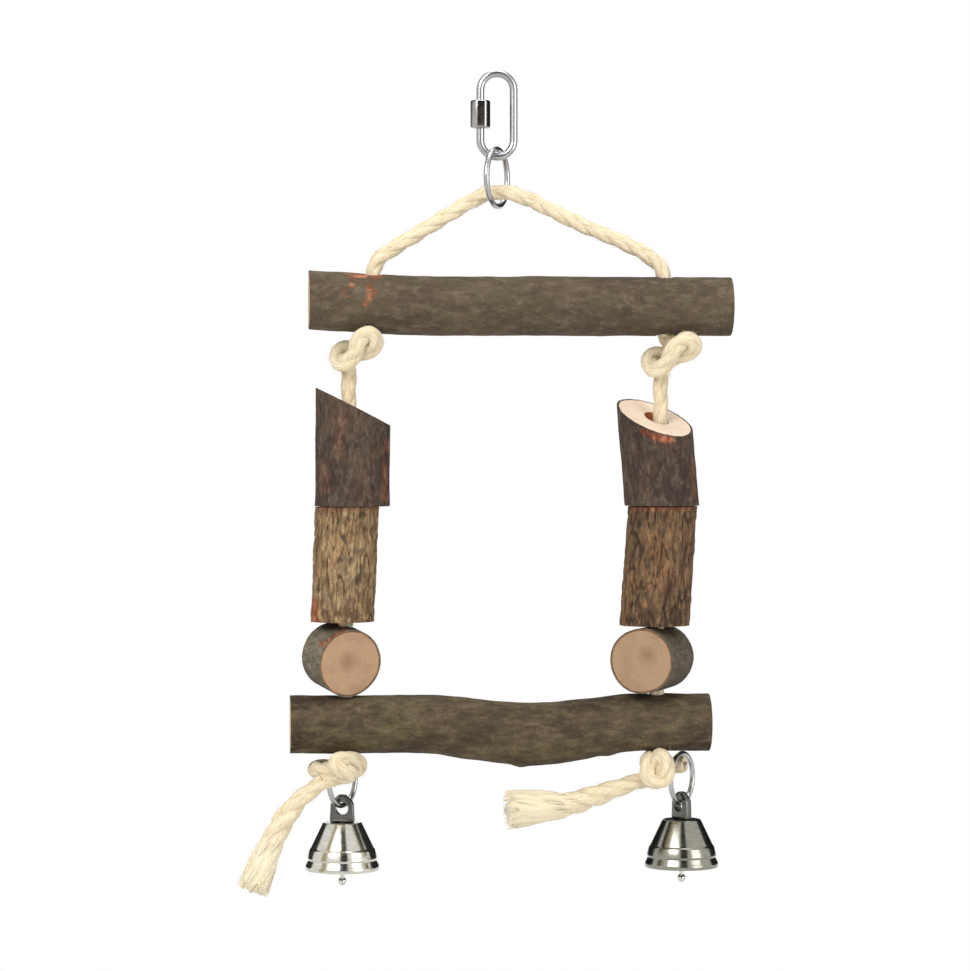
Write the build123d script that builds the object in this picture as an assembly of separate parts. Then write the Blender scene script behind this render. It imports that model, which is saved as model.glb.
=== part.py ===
from build123d import *
import math
import os

# Bird swing: a quick link and a ring carry a rope yoke, a branch bar hangs from the yoke, and two
# rope columns of branch blocks carry a perch with a bell under each end.
# Millimetres. +X runs along the bars to the right, +Y goes away from the viewer, +Z is up.
# The origin is the inside of the quick link's upper bow, where the swing hangs from a cage bar.

# Running clearances
rest_gap = 0.3
ring_gap = 0.35
stack_gap = 0.4
log_gap = 0.7
thread_gap = 0.15
rope_slack = 0.2

# Rope
rope_dia = 6.0
hole_gap = 0.75
strand_clearance = 0.9
fray_flare = 4.4
fray_length = 12.0

# Quick link and its sleeve nut
link_wire = 3.0
link_inner_width = 10.0
link_inner_length = 29.4
nut_flats = 7.0
nut_length = 10.9
nut_travel = 4.5
nut_overlap = 1.0
nut_raise = 0.3

# Hanging ring
ring_outer_dia = 24.4
ring_wire = 2.2
ring_yaw = 26.0

# Top bar
bar_length = 165.0
bar_dia = 23.0
bar_left_end = -73.3
bar_axis_z = -89.0
bar_left_rise = 2.2
bar_rise_run = 40.0
bar_left_hole_inset = 24.8
bar_right_hole_inset = 25.7
yoke_bend_depth = 1.6

# Rope columns
left_knot_shift = -10.9
right_knot_shift = -3.4
knot_depth = 15.7
neck_length = 7.0

# Perch
perch_dia = 22.6
perch_left_overhang = 21.3
perch_right_overhang = 20.7
perch_axis_z = -251.8
perch_sag = 4.2
perch_sag_x = 14.0
perch_sag_half_width = 45.0
perch_middle_swell = 2.0

# Blocks on the columns
block_bore = 9.6
middle_top_height = 73.3
left_upper_height = 47.6
right_upper_height = 41.5
upper_block_dia = 29.0
upper_cut_angle = 27.0
left_cut_turn = 0.0
right_cut_turn = -56.0
middle_left_dia = 24.5
middle_right_dia = 27.0
left_upper_foot_shift = 3.0
left_upper_head_shift = 3.2
right_upper_foot_shift = 2.1
right_upper_head_shift = -3.5
middle_left_foot_shift = -1.0
middle_left_head_shift = 1.0
middle_right_foot_shift = -0.7
middle_right_head_shift = 2.5
left_log_dia = 26.6
right_log_dia = 25.8
log_bore = 7.6
left_log_length = 17.0
left_log_shift = -1.4
left_log_turn = 22.0
left_log_pitch = 8.0
right_log_length = 29.0
right_log_shift = -1.6
right_log_turn = -24.0

# Bell rings
bell_ring_outer_dia = 21.5
bell_ring_wire = 2.1
bell_ring_yaw = 34.0
left_ring_forward = 6.0
right_ring_forward = 12.5

# Bells
bell_crown_dia = 15.0
bell_lip_dia = 29.0
bell_height = 18.7
bell_wall = 0.9
bell_lip_roll = 1.6
bell_bead = 0.5
bead_top_share = 0.54
bead_bottom_share = 0.78
waist_slope = 0.26
flare_slope = 0.31
hanger_height = 10.9
hanger_base_width = 9.8
hanger_top_width = 8.6
hanger_depth = 3.4
hanger_bar = 3.0
hanger_window_width = 5.2
hanger_window_height = 4.9
left_hanger_turn = 24.0
right_hanger_turn = -26.0
stem_dia = 2.4
stem_drop = 1.2
eye_outer_dia = 5.2
eye_wire = 1.3
clapper_rod_dia = 1.7
clapper_weight_dia = 7.0
clapper_weight_height = 3.6
clapper_reach = 6.0
clapper_tip_dia = 3.2

rope_radius = rope_dia / 2
link_radius = (link_inner_width + link_wire) / 2
link_top_z = -link_inner_width / 2
link_bottom_z = -link_inner_length + link_inner_width / 2
link_seat_z = -link_inner_length
link_pivot_z = link_seat_z - link_wire / 2
nut_top_z = (link_top_z + link_bottom_z) / 2 + nut_length / 2 + nut_raise
ring_radius = (ring_outer_dia - ring_wire) / 2
ring_centre_z = link_seat_z + ring_gap + ring_wire / 2 - ring_radius
ring_pivot_z = ring_centre_z - ring_radius
yoke_apex_z = ring_pivot_z + ring_wire / 2 + ring_gap + rope_radius
bar_radius = bar_dia / 2
bar_right_end = bar_left_end + bar_length
bar_bottom_z = bar_axis_z - bar_radius
bar_left_hole_x = bar_left_end + bar_left_hole_inset
bar_right_hole_x = bar_right_end - bar_right_hole_inset
left_rope_x = bar_left_hole_x + left_knot_shift
right_rope_x = bar_right_hole_x + right_knot_shift
knot_bottom_z = bar_bottom_z - knot_depth
perch_radius = perch_dia / 2
perch_left_end = left_rope_x - perch_left_overhang
perch_right_end = right_rope_x + perch_right_overhang
perch_top_z = perch_axis_z + perch_radius
neck_top_z = knot_bottom_z - rest_gap - rope_radius
neck_bottom_z = neck_top_z - neck_length
column_bottom_z = perch_top_z - rest_gap
bell_ring_radius = (bell_ring_outer_dia - bell_ring_wire) / 2

os.makedirs("parts", exist_ok=True)


def save(node, solid):
    export_step(solid, f"parts/{node}.step")
    print(node, "volume", round(solid.volume, 1))


def rod(start, end, radius):
    """A round bar between two points."""
    line = Vector(*end) - Vector(*start)
    return Solid.make_cylinder(radius, line.length, Plane(origin=start, z_dir=line))


def ball(centre, radius):
    return Pos(*centre) * Sphere(radius)


def ring(centre, radius, wire, yaw):
    """A round ring that stands upright, turned about Z from the Y axis."""
    return Pos(*centre) * Rot(0, 0, -yaw) * Rot(0, 90, 0) * Torus(radius, wire / 2)


def cord(points, diameter):
    """A tube along straight runs joined by arcs as large as the runs allow."""
    stops = [Vector(*point) for point in points]
    radii = []
    for before, corner, after in zip(stops, stops[1:], stops[2:]):
        turn = (corner - before).get_angle(after - corner)
        shorter = min((corner - before).length, (after - corner).length)
        radii.append(0.45 * shorter / math.tan(math.radians(turn) / 2))
    path = FilletPolyline(*stops, radius=radii)
    section = Plane(origin=path @ 0, z_dir=path % 0) * Circle(diameter / 2)
    tube = sweep(section, path=path)
    print("cord radii", [round(radius, 1) for radius in radii], "length", round(path.length, 1),
          "volume ratio", round(tube.volume / (section.area * path.length), 3))
    return tube


def rope_turns(points):
    """Rope drawn tight through the points, as it lies in a knot."""
    turns = ball(points[0], rope_radius)
    for start, end in zip(points, points[1:]):
        turns += rod(start, end, rope_radius)
        turns += ball(end, rope_radius)
    return turns


def branch(stations):
    """A branch along X through round sections, each given as x, z and radius."""
    sections = [Plane(origin=(x, 0, z), z_dir=(1, 0, 0)) * Circle(radius) for x, z, radius in stations]
    return loft(sections, ruled=True)


def turned(start, right, back, up):
    """A place near another one, given in rope diameters."""
    return start[0] + right * rope_dia, start[1] + back * rope_dia, start[2] + up * rope_dia


def upright_hole(x, diameter, top_z, bottom_z):
    return rod((x, 0, bottom_z), (x, 0, top_z), diameter / 2)


# Quick link: a round wire bent into a long eye, with a gap in the left leg that the nut bridges
gap_top_z = nut_top_z - nut_overlap
gap_bottom_z = nut_top_z - nut_travel
left_leg_x = -link_radius
with BuildLine() as link_path:
    Line((left_leg_x, 0, gap_bottom_z), (left_leg_x, 0, link_bottom_z))
    ThreePointArc((left_leg_x, 0, link_bottom_z), (0, 0, link_pivot_z), (link_radius, 0, link_bottom_z))
    Line((link_radius, 0, link_bottom_z), (link_radius, 0, link_top_z))
    ThreePointArc((link_radius, 0, link_top_z), (0, 0, link_wire / 2), (left_leg_x, 0, link_top_z))
    Line((left_leg_x, 0, link_top_z), (left_leg_x, 0, gap_top_z))
link_section = Plane(origin=(left_leg_x, 0, gap_bottom_z), z_dir=(0, 0, -1)) * Circle(link_wire / 2)
save("quick_link_body", sweep(link_section, path=link_path.line))

nut_blank = extrude(RegularPolygon(nut_flats / 2, 6, major_radius=False), nut_length)
nut_edges = nut_blank.faces().filter_by(Axis.Z).edges()
nut = chamfer(nut_edges, link_wire / 10) - Cylinder(link_wire / 2 + thread_gap, 3 * nut_length)
save("quick_link_nut", Pos(left_leg_x, 0, nut_top_z - nut_length) * nut)

save("hanging_ring", ring((0, 0, ring_centre_z), ring_radius, ring_wire, ring_yaw))


# Top bar: a nearly straight branch whose left end rises, with an upright hole for each rope end
def bar_height(x):
    rise_start = bar_left_end + bar_rise_run
    share = max(0.0, (rise_start - x) / bar_rise_run)
    return bar_axis_z + bar_left_rise * share


bar_stops = [bar_left_end, bar_left_hole_x, bar_left_end + bar_rise_run, bar_right_hole_x, bar_right_end]
bar_blank = branch([(x, bar_height(x), bar_radius) for x in bar_stops])
hole_dia = rope_dia + 2 * hole_gap
bar_reach = bar_axis_z + 2 * bar_radius
bar_under = bar_axis_z - 2 * bar_radius
top_bar = bar_blank
for hole_x in (bar_left_hole_x, bar_right_hole_x):
    top_bar -= upright_hole(hole_x, hole_dia, bar_reach, bar_under)
save("top_bar", top_bar)

# Rope yoke: from the left hole up over the ring and down into the right hole
yoke_foot_z = bar_bottom_z - rest_gap
yoke_top_z = yoke_apex_z + yoke_bend_depth
yoke_drop = yoke_top_z - bar_axis_z


def yoke_stop(hole_x, run, drop, back=0.0):
    """A place on the yoke, as shares of the way out to a hole and down to the bar."""
    return hole_x * run, back, yoke_top_z - yoke_drop * drop


yoke_points = [
    (bar_left_hole_x, 0, yoke_foot_z),
    yoke_stop(bar_left_hole_x, 1, 0.889, rope_slack),
    yoke_stop(bar_left_hole_x, 0.996, 0.626),
    yoke_stop(bar_left_hole_x, 0.854, 0.514),
    yoke_stop(bar_left_hole_x, 0.557, 0.318),
    yoke_stop(bar_left_hole_x, 0.247, 0.114),
    (0, 0, yoke_top_z),
    yoke_stop(bar_right_hole_x, 0.212, 0.082),
    yoke_stop(bar_right_hole_x, 0.455, 0.265),
    yoke_stop(bar_right_hole_x, 0.697, 0.408),
    yoke_stop(bar_right_hole_x, 0.879, 0.532),
    yoke_stop(bar_right_hole_x, 0.996, 0.675),
    yoke_stop(bar_right_hole_x, 1, 0.933, rope_slack),
    (bar_right_hole_x, 0, yoke_foot_z),
]
rope_yoke = cord(yoke_points, rope_dia)
save("rope_yoke", rope_yoke)

# Upper knots: overhand knots under the bar that stop it, each ending over its column's neck
knot_end_z = knot_bottom_z + rope_radius
left_hole_foot = (bar_left_hole_x, 0, bar_bottom_z)
left_knot_points = [
    turned(left_hole_foot, 0, 0, -0.62),
    turned(left_hole_foot, -0.05, -1.1, -0.68),
    turned(left_hole_foot, -1.25, -1.1, -1.42),
    turned(left_hole_foot, -2.35, -0.33, -1.65),
    turned(left_hole_foot, -2.02, 0.83, -1.15),
    turned(left_hole_foot, -0.75, 1.03, -0.82),
    turned(left_hole_foot, -0.02, 0.57, -1.48),
    turned(left_hole_foot, -0.85, -0.13, -1.98),
    (left_rope_x, 0, knot_end_z),
]
right_hole_foot = (bar_right_hole_x, 0, bar_bottom_z)
right_knot_points = [
    turned(right_hole_foot, 0, 0, -0.62),
    turned(right_hole_foot, 1.4, -0.4, -0.58),
    turned(right_hole_foot, 0.73, -1.1, -0.85),
    turned(right_hole_foot, -0.6, -1.1, -1.68),
    turned(right_hole_foot, -1.27, -0.27, -1.82),
    turned(right_hole_foot, -0.77, 0.87, -1.35),
    turned(right_hole_foot, 0.5, 0.97, -0.98),
    turned(right_hole_foot, 1.17, 0.27, -1.25),
    turned(right_hole_foot, 0.33, -0.1, -1.95),
    (right_rope_x, 0, knot_end_z),
]
yoke_clear = rod((bar_left_hole_x, 0, yoke_foot_z), (bar_left_hole_x, 0, bar_axis_z), rope_radius)
yoke_clear += rod((bar_right_hole_x, 0, yoke_foot_z), (bar_right_hole_x, 0, bar_axis_z), rope_radius)
save("upper_left_knot", rope_turns(left_knot_points) - bar_blank - yoke_clear)
save("upper_right_knot", rope_turns(right_knot_points) - bar_blank - yoke_clear)

# Necks and column ropes: round-ended stretches, so that each bend in the rope has its own centre
socket_radius = rope_radius + rest_gap
socket_rim = math.sqrt(socket_radius ** 2 - rope_radius ** 2)
for side, rope_x in (("left", left_rope_x), ("right", right_rope_x)):
    save(f"{side}_neck", rope_turns([(rope_x, 0, neck_top_z), (rope_x, 0, neck_bottom_z)]))
    column_rope = rod((rope_x, 0, column_bottom_z), (rope_x, 0, neck_bottom_z - socket_rim), rope_radius)
    column_rope += ball((rope_x, 0, column_bottom_z), rope_radius)
    save(f"{side}_column_rope", column_rope - ball((rope_x, 0, neck_bottom_z), socket_radius))


# Perch: a branch that sags and swells in its middle
def sag_share(x):
    reach = abs(x - perch_sag_x) / perch_sag_half_width
    if reach >= 1:
        return 0.0
    return math.cos(reach * math.pi / 2) ** 2


sag_steps = (-1.0, -0.75, -0.5, -0.25, 0.0, 0.25, 0.5, 0.75, 1.0)
sag_stops = [perch_sag_x + perch_sag_half_width * step for step in sag_steps]
perch_stops = [perch_left_end, left_rope_x, right_rope_x, perch_right_end]
perch_stops += [x for x in sag_stops if perch_left_end < x < perch_right_end]
perch_blank = branch([
    (x, perch_axis_z - perch_sag * sag_share(x), perch_radius + perch_middle_swell / 2 * sag_share(x))
    for x in sorted(perch_stops)
])
perch = perch_blank
for rope_x in (left_rope_x, right_rope_x):
    perch -= upright_hole(rope_x, hole_dia, perch_top_z + perch_radius, perch_axis_z - 2 * perch_radius)
save("perch", perch)

# Logs: cross-drilled slices that sit on the perch
log_floor_z = perch_top_z + log_gap


def log_slice(middle_x, diameter, length, turn, pitch):
    """A round slice lying towards the viewer, turned about its middle and tipped forward."""
    lift = diameter / 2 / math.cos(math.radians(pitch))
    slice_axis = Pos(middle_x, 0, log_floor_z + lift) * Rot(0, 0, turn) * Rot(90 + pitch, 0, 0)
    return slice_axis * Cylinder(diameter / 2, length)


left_log_x = left_rope_x + left_log_shift
right_log_x = right_rope_x + right_log_shift
left_log = log_slice(left_log_x, left_log_dia, left_log_length, left_log_turn, left_log_pitch)
right_log = log_slice(right_log_x, right_log_dia, right_log_length, right_log_turn, 0)
log_top = {"left": left_log.bounding_box().max.Z, "right": right_log.bounding_box().max.Z}
for side, rope_x, log in (("left", left_rope_x, left_log), ("right", right_rope_x, right_log)):
    bore = upright_hole(rope_x, log_bore, log_top[side] + log_bore, perch_axis_z)
    save(f"{side}_log_slice", log - bore)


# Blocks: leaning lengths of branch with level ends, the upper ones cut on a slant at the top
def leaning_block(bottom_centre, top_centre, bottom_z, top_z, diameter):
    lower = Plane(origin=(bottom_centre, 0, bottom_z)) * Circle(diameter / 2)
    upper = Plane(origin=(top_centre, 0, top_z)) * Circle(diameter / 2)
    return loft([lower, upper], ruled=True)


middle_top_z = perch_top_z + middle_top_height
upper_bottom_z = middle_top_z + stack_gap
for side, rope_x, diameter, foot, head in (
    ("left", left_rope_x, middle_left_dia, middle_left_foot_shift, middle_left_head_shift),
    ("right", right_rope_x, middle_right_dia, middle_right_foot_shift, middle_right_head_shift),
):
    bottom_z = log_top[side] + stack_gap
    block = leaning_block(rope_x + foot, rope_x + head, bottom_z, middle_top_z, diameter)
    bore = upright_hole(rope_x, block_bore, middle_top_z + diameter, bottom_z - diameter)
    save(f"{side}_middle_block", block - bore)

cut_drop = upper_block_dia / 2 * math.tan(math.radians(upper_cut_angle))
left_upper = (left_upper_height, left_cut_turn, left_upper_foot_shift, left_upper_head_shift)
right_upper = (right_upper_height, right_cut_turn, right_upper_foot_shift, right_upper_head_shift)
for side, rope_x, upper in (("left", left_rope_x, left_upper), ("right", right_rope_x, right_upper)):
    height, cut_turn, foot, head = upper
    top_z = upper_bottom_z + height + upper_block_dia
    block = leaning_block(rope_x + foot, rope_x + head, upper_bottom_z, top_z, upper_block_dia)
    downhill = Vector(1, 0, 0).rotate(Axis.Z, cut_turn)
    angle = math.radians(upper_cut_angle)
    normal = downhill * math.sin(angle) + Vector(0, 0, 1) * math.cos(angle)
    cut_centre = (rope_x, 0, upper_bottom_z + height - cut_drop)
    block = split(block, bisect_by=Plane(origin=cut_centre, z_dir=normal), keep=Keep.BOTTOM)
    bore = upright_hole(rope_x, block_bore, top_z + upper_block_dia, upper_bottom_z - upper_block_dia)
    save(f"{side}_upper_block", block - bore)

# Bell rings: each hangs on a strand of its lower knot, behind the rope
along = Vector(math.sin(math.radians(bell_ring_yaw)), math.cos(math.radians(bell_ring_yaw)), 0)
across = Vector(math.cos(math.radians(bell_ring_yaw)), -math.sin(math.radians(bell_ring_yaw)), 0)
strand_offset = rope_radius + bell_ring_wire / 2 + strand_clearance
ring_top_z = perch_axis_z - perch_radius - rest_gap - strand_clearance / 2
strand_z = ring_top_z - bell_ring_wire - ring_gap - rope_radius
bell_ring_z = strand_z + rope_radius + ring_gap + bell_ring_wire / 2 - bell_ring_radius
bell_pivot_z = bell_ring_z - bell_ring_radius


def strand_centre(rope_x, offset, forward):
    place = Vector(rope_x, 0, strand_z) + across * offset + along * forward
    return place.X, place.Y, place.Z


left_strand = strand_centre(left_rope_x, -strand_offset, left_ring_forward)
right_strand = strand_centre(right_rope_x, strand_offset, right_ring_forward)
strands = {"left": left_strand, "right": right_strand}
for side, strand in strands.items():
    centre = (strand[0], strand[1], bell_ring_z)
    save(f"{side}_bell_ring", ring(centre, bell_ring_radius, bell_ring_wire, bell_ring_yaw))
    print(side, "strand", [round(value, 2) for value in strand], "bell pivot", round(bell_pivot_z, 2))


# Lower knots: the rope comes out under the perch, passes through the bell ring and is knotted
def beside(strand, outward, drop=0.0):
    """A place along the strand and below it, given in rope diameters."""
    place = Vector(*strand) + across * outward * rope_dia - Vector(0, 0, drop * rope_dia)
    return place.X, place.Y, place.Z


stub_top_z = column_bottom_z - socket_rim
left_start = (left_rope_x, 0, strand_z)
left_tail_start = turned(left_start, -1.48, -1.08, -0.7)
left_lower_points = [
    (left_rope_x, 0, stub_top_z),
    turned(left_start, 0, 0, 0.3),
    turned(left_start, 0.63, 0.6, -0.03),
    left_strand,
    beside(left_strand, -1.0),
    turned(left_start, -1.85, 1.08, -0.2),
    turned(left_start, -2.02, -0.25, -0.2),
    turned(left_start, -1.77, -1.25, -0.12),
    turned(left_start, -0.6, -1.58, 0.13),
    turned(left_start, 0.9, -1.33, 0.22),
    turned(left_start, 1.32, -0.5, -0.2),
    turned(left_start, 0.57, -0.83, -0.7),
    turned(left_start, -0.77, -1.25, -0.7),
    left_tail_start,
]
right_start = (right_rope_x, 0, strand_z)
right_tail_start = turned(right_start, -0.67, -0.33, -0.73)
right_lower_points = [
    (right_rope_x, 0, stub_top_z),
    right_start,
    turned(right_start, 0.27, 0.57, -0.17),
    beside(right_strand, -0.77),
    beside(right_strand, 0.23),
]
right_lobe_points = [
    right_start,
    turned(right_start, -0.47, -0.77, 0.07),
    turned(right_start, -0.6, -0.9, -0.2),
    right_tail_start,
    turned(right_start, -0.27, -0.33, -0.9),
]
sockets = {"left": ball((left_rope_x, 0, column_bottom_z), socket_radius),
           "right": ball((right_rope_x, 0, column_bottom_z), socket_radius)}
left_lower_knot = rope_turns(left_lower_points)
right_lower_knot = rope_turns(right_lower_points) + rope_turns(right_lobe_points)

# Tails: the free rope ends, each with a frayed brush at its tip
left_tail_points = [
    left_tail_start,
    turned(left_start, -3.03, -1.58, -1.72),
    turned(left_start, -4.03, -1.92, -3.08),
    turned(left_start, -4.83, -2.17, -4.62),
    turned(left_start, -5.53, -2.33, -6.35),
]
right_tail_points = [
    right_tail_start,
    turned(right_start, -2.67, -0.83, -1.28),
    turned(right_start, -4.6, -1.42, -1.88),
    turned(right_start, -6.43, -1.83, -2.32),
    turned(right_start, -8.03, -2.07, -2.38),
]
knots = {"left": left_lower_knot, "right": right_lower_knot}
for side, points in (("left", left_tail_points), ("right", right_tail_points)):
    tail = cord(points, rope_dia) - knots[side]
    save(f"{side}_tail", tail.solids().sort_by(SortBy.VOLUME)[-1])
    save(f"lower_{side}_knot", knots[side] - perch - sockets[side])
    last = Vector(*points[-1])
    onward = (last - Vector(*points[-2])).normalized()
    tip = Plane(origin=last, z_dir=onward)
    save(f"{side}_fray", Solid.make_cone(rope_radius, rope_radius * fray_flare / 2, fray_length, tip))

# Bells: a spun cup, a hanger riveted through its crown and a clapper hooked in the hanger's eye
hanger_top_z = bell_pivot_z + bell_ring_wire / 2 + ring_gap + hanger_bar
crown_z = hanger_top_z - hanger_height
lip_z = crown_z - bell_height
crown_radius = bell_crown_dia / 2
lip_radius = bell_lip_dia / 2
stem_foot_z = crown_z - bell_wall - stem_drop
eye_radius = (eye_outer_dia - eye_wire) / 2
eye_centre_z = stem_foot_z - eye_outer_dia / 2 + eye_wire


def bell_cup():
    """The cup's wall, with a raised bead above its flared and rolled lip, turned about Z."""
    bead_top = crown_z - bead_top_share * bell_height
    bead_bottom = crown_z - bead_bottom_share * bell_height
    waist_radius = crown_radius + waist_slope * bell_height
    flare_radius = crown_radius + flare_slope * bell_height
    outer = [
        (stem_dia / 2, crown_z),
        (crown_radius, crown_z),
        (waist_radius, bead_top),
        (waist_radius + bell_bead, bead_top - bell_bead),
        (flare_radius + bell_bead, bead_bottom + bell_bead),
        (flare_radius, bead_bottom),
        (lip_radius, lip_z + bell_lip_roll),
        (lip_radius, lip_z),
    ]
    inner = [
        (lip_radius - 2 * bell_wall, lip_z),
        (flare_radius - bell_wall, bead_bottom),
        (waist_radius - bell_wall, bead_top),
        (crown_radius - bell_wall, crown_z - bell_wall),
        (stem_dia / 2, crown_z - bell_wall),
    ]
    profile = Plane.XZ * make_face(Polyline(*outer, *inner, close=True))
    return revolve(profile, Axis.Z)


def bell_hanger():
    """A flat loop on the crown, with a stem through the cup and an eye under it."""
    half_base = hanger_base_width / 2
    half_top = hanger_top_width / 2
    shoulder_z = hanger_top_z - hanger_bar
    outline = Plane.XZ * make_face(Polyline(
        (-half_base, crown_z), (half_base, crown_z), (half_top, shoulder_z), (half_top / 2, hanger_top_z),
        (-half_top / 2, hanger_top_z), (-half_top, shoulder_z), close=True))
    loop = extrude(outline, hanger_depth / 2, both=True)
    window_z = shoulder_z - hanger_window_height / 2
    loop -= Pos(0, 0, window_z) * Box(hanger_window_width, 3 * hanger_depth, hanger_window_height)
    stem = rod((0, 0, stem_foot_z), (0, 0, crown_z), stem_dia / 2)
    return loop + stem + ring((0, 0, eye_centre_z), eye_radius, eye_wire, 90)


clapper_pivot_z = eye_centre_z - eye_radius
clapper_eye_z = clapper_pivot_z + eye_wire / 2 + ring_gap + eye_wire / 2 - eye_radius


def clapper():
    """A rod with an eye at the top, a weight at the mouth and a small bead below it."""
    tip_z = lip_z - clapper_reach
    piece = ring((0, 0, clapper_eye_z), eye_radius, eye_wire, 0)
    piece += rod((0, 0, clapper_eye_z - eye_radius), (0, 0, tip_z), clapper_rod_dia / 2)
    weight = Cylinder(clapper_weight_dia / 2, clapper_weight_height)
    weight = Pos(0, 0, lip_z + clapper_weight_height / 4) * weight
    piece += fillet(weight.edges(), clapper_weight_height / 3)
    return piece + ball((0, 0, tip_z + clapper_tip_dia / 2), clapper_tip_dia / 2)


for side, turn in (("left", left_hanger_turn), ("right", right_hanger_turn)):
    place = Pos(strands[side][0], strands[side][1], 0) * Rot(0, 0, turn - bell_ring_yaw)
    save(f"{side}_bell_cup", place * bell_cup())
    save(f"{side}_bell_hanger", place * bell_hanger())
    save(f"{side}_clapper", place * clapper())

print("pivots", "link", link_pivot_z, "ring", ring_pivot_z, "neck", neck_top_z, neck_bottom_z,
      "column", column_bottom_z, "crown", crown_z, "lip", lip_z, "clapper", clapper_pivot_z)
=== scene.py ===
# %% [markdown]
# A hanging bird swing: a quick link and a ring hold a rope yoke, a branch bar hangs from the yoke, and
# two rope columns of bark blocks carry a perch with a bell under each end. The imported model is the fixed
# frame. Each piece that needs bark, rope lay or spun metal is modelled again in the same place and
# replaces its node.

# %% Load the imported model
import math
import random

import bpy
from mathutils import Matrix, Vector, noise


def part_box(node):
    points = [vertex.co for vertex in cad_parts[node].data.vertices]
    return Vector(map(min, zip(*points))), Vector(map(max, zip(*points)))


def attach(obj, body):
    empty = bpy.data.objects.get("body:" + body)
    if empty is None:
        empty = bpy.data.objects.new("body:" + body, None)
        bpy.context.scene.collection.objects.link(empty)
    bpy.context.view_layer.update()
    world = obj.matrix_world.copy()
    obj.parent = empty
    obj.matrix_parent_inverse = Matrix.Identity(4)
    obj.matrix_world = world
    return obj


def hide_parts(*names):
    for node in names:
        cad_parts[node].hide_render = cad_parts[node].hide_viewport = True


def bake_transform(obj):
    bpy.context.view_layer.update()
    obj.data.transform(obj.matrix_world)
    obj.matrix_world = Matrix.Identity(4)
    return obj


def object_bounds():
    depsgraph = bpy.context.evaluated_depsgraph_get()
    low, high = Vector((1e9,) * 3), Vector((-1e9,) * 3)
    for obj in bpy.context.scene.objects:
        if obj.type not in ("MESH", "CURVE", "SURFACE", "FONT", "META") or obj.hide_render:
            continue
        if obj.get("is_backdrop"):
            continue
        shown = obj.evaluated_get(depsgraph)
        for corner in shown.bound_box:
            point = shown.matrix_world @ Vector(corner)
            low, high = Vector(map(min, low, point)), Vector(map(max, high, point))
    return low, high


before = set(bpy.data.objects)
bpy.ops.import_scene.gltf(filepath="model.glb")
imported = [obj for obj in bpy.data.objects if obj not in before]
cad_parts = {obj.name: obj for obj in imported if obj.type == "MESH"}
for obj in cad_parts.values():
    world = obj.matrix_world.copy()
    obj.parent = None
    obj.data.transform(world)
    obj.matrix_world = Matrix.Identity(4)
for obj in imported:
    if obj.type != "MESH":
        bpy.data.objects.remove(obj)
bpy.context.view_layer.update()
MM = 0.001
random.seed(7)

# %% [markdown]
# The photograph is taken straight on, a little from the left, with a long lens, against pure white. A
# long lens keeps the bars nearly parallel. The view's middle is a point between the two bars.

# %% Camera
VIEW_MIDDLE = Vector((-0.0047, 0.0, -0.1589))
VIEW_WIDTH = 0.3783
VIEW_DISTANCE = 1.35
VIEW_AZIMUTH = math.radians(-4.5)
VIEW_ELEVATION = math.radians(1.0)

towards_camera = Vector((
    math.sin(VIEW_AZIMUTH) * math.cos(VIEW_ELEVATION),
    -math.cos(VIEW_AZIMUTH) * math.cos(VIEW_ELEVATION),
    math.sin(VIEW_ELEVATION),
))
bpy.ops.object.camera_add(location=VIEW_MIDDLE + towards_camera * VIEW_DISTANCE)
camera = bpy.context.object
camera.rotation_euler = towards_camera.to_track_quat("Z", "Y").to_euler()
camera.data.sensor_width = 36.0
camera.data.sensor_fit = "HORIZONTAL"
camera.data.lens = camera.data.sensor_width * VIEW_DISTANCE / VIEW_WIDTH
bpy.context.scene.camera = camera
bpy.context.scene.view_settings.view_transform = "Standard"
print("lens", round(camera.data.lens, 1), "mm")

# %% [markdown]
# Nodes are easier to read when one call makes a node, sets it and joins it up. A colour is written as it
# looks on screen, and turned into the linear value that the shader needs.


# %% Node helpers
def paint(red, green, blue):
    """A screen colour, 0 to 255, as a linear one."""
    shares = (value / 255 for value in (red, green, blue))
    linear = (s / 12.92 if s <= 0.04045 else ((s + 0.055) / 1.055) ** 2.4 for s in shares)
    return (*linear, 1.0)


def grey(value):
    return (value, value, value, 1.0)


def new_finish(name):
    finish = bpy.data.materials.new(name)
    finish.use_nodes = True
    return finish, finish.node_tree, finish.node_tree.nodes["Principled BSDF"]


def plug(tree, node, inputs):
    """Sets inputs of a node. Each is a value, or the output of another node."""
    for key, value in inputs.items():
        if isinstance(value, bpy.types.NodeSocket):
            tree.links.new(value, node.inputs[key])
        else:
            node.inputs[key].default_value = value


def add(tree, kind, inputs=None, **settings):
    """One node with its settings and its inputs."""
    node = tree.nodes.new("ShaderNode" + kind)
    for key, value in settings.items():
        setattr(node, key, value)
    plug(tree, node, inputs or {})
    return node


# %% [markdown]
# A pattern starts from Object coordinates, which stay with a piece when it moves. Noise gives each spot a
# share from 0 to 1. A ramp turns the share into colours or greys, and a bump turns it into relief.


# %% Pattern helpers
def placed(tree, scale=(1, 1, 1), centre=(0, 0, 0), turn=(0, 0, 0)):
    """Object coordinates about a centre, turned, then scaled."""
    place = add(tree, "TexCoord").outputs["Object"]
    shift = add(tree, "VectorMath", {0: place, 1: centre}, operation="SUBTRACT").outputs[0]
    turned = add(tree, "Mapping", {"Vector": shift, "Rotation": turn}).outputs[0]
    return add(tree, "Mapping", {"Vector": turned, "Scale": scale}).outputs[0]


def mottle(tree, vector, scale, detail=4.0, rough=0.55, distort=0.0):
    inputs = {"Vector": vector, "Scale": scale, "Detail": detail, "Roughness": rough, "Distortion": distort}
    return add(tree, "TexNoise", inputs).outputs["Fac"]


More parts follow.
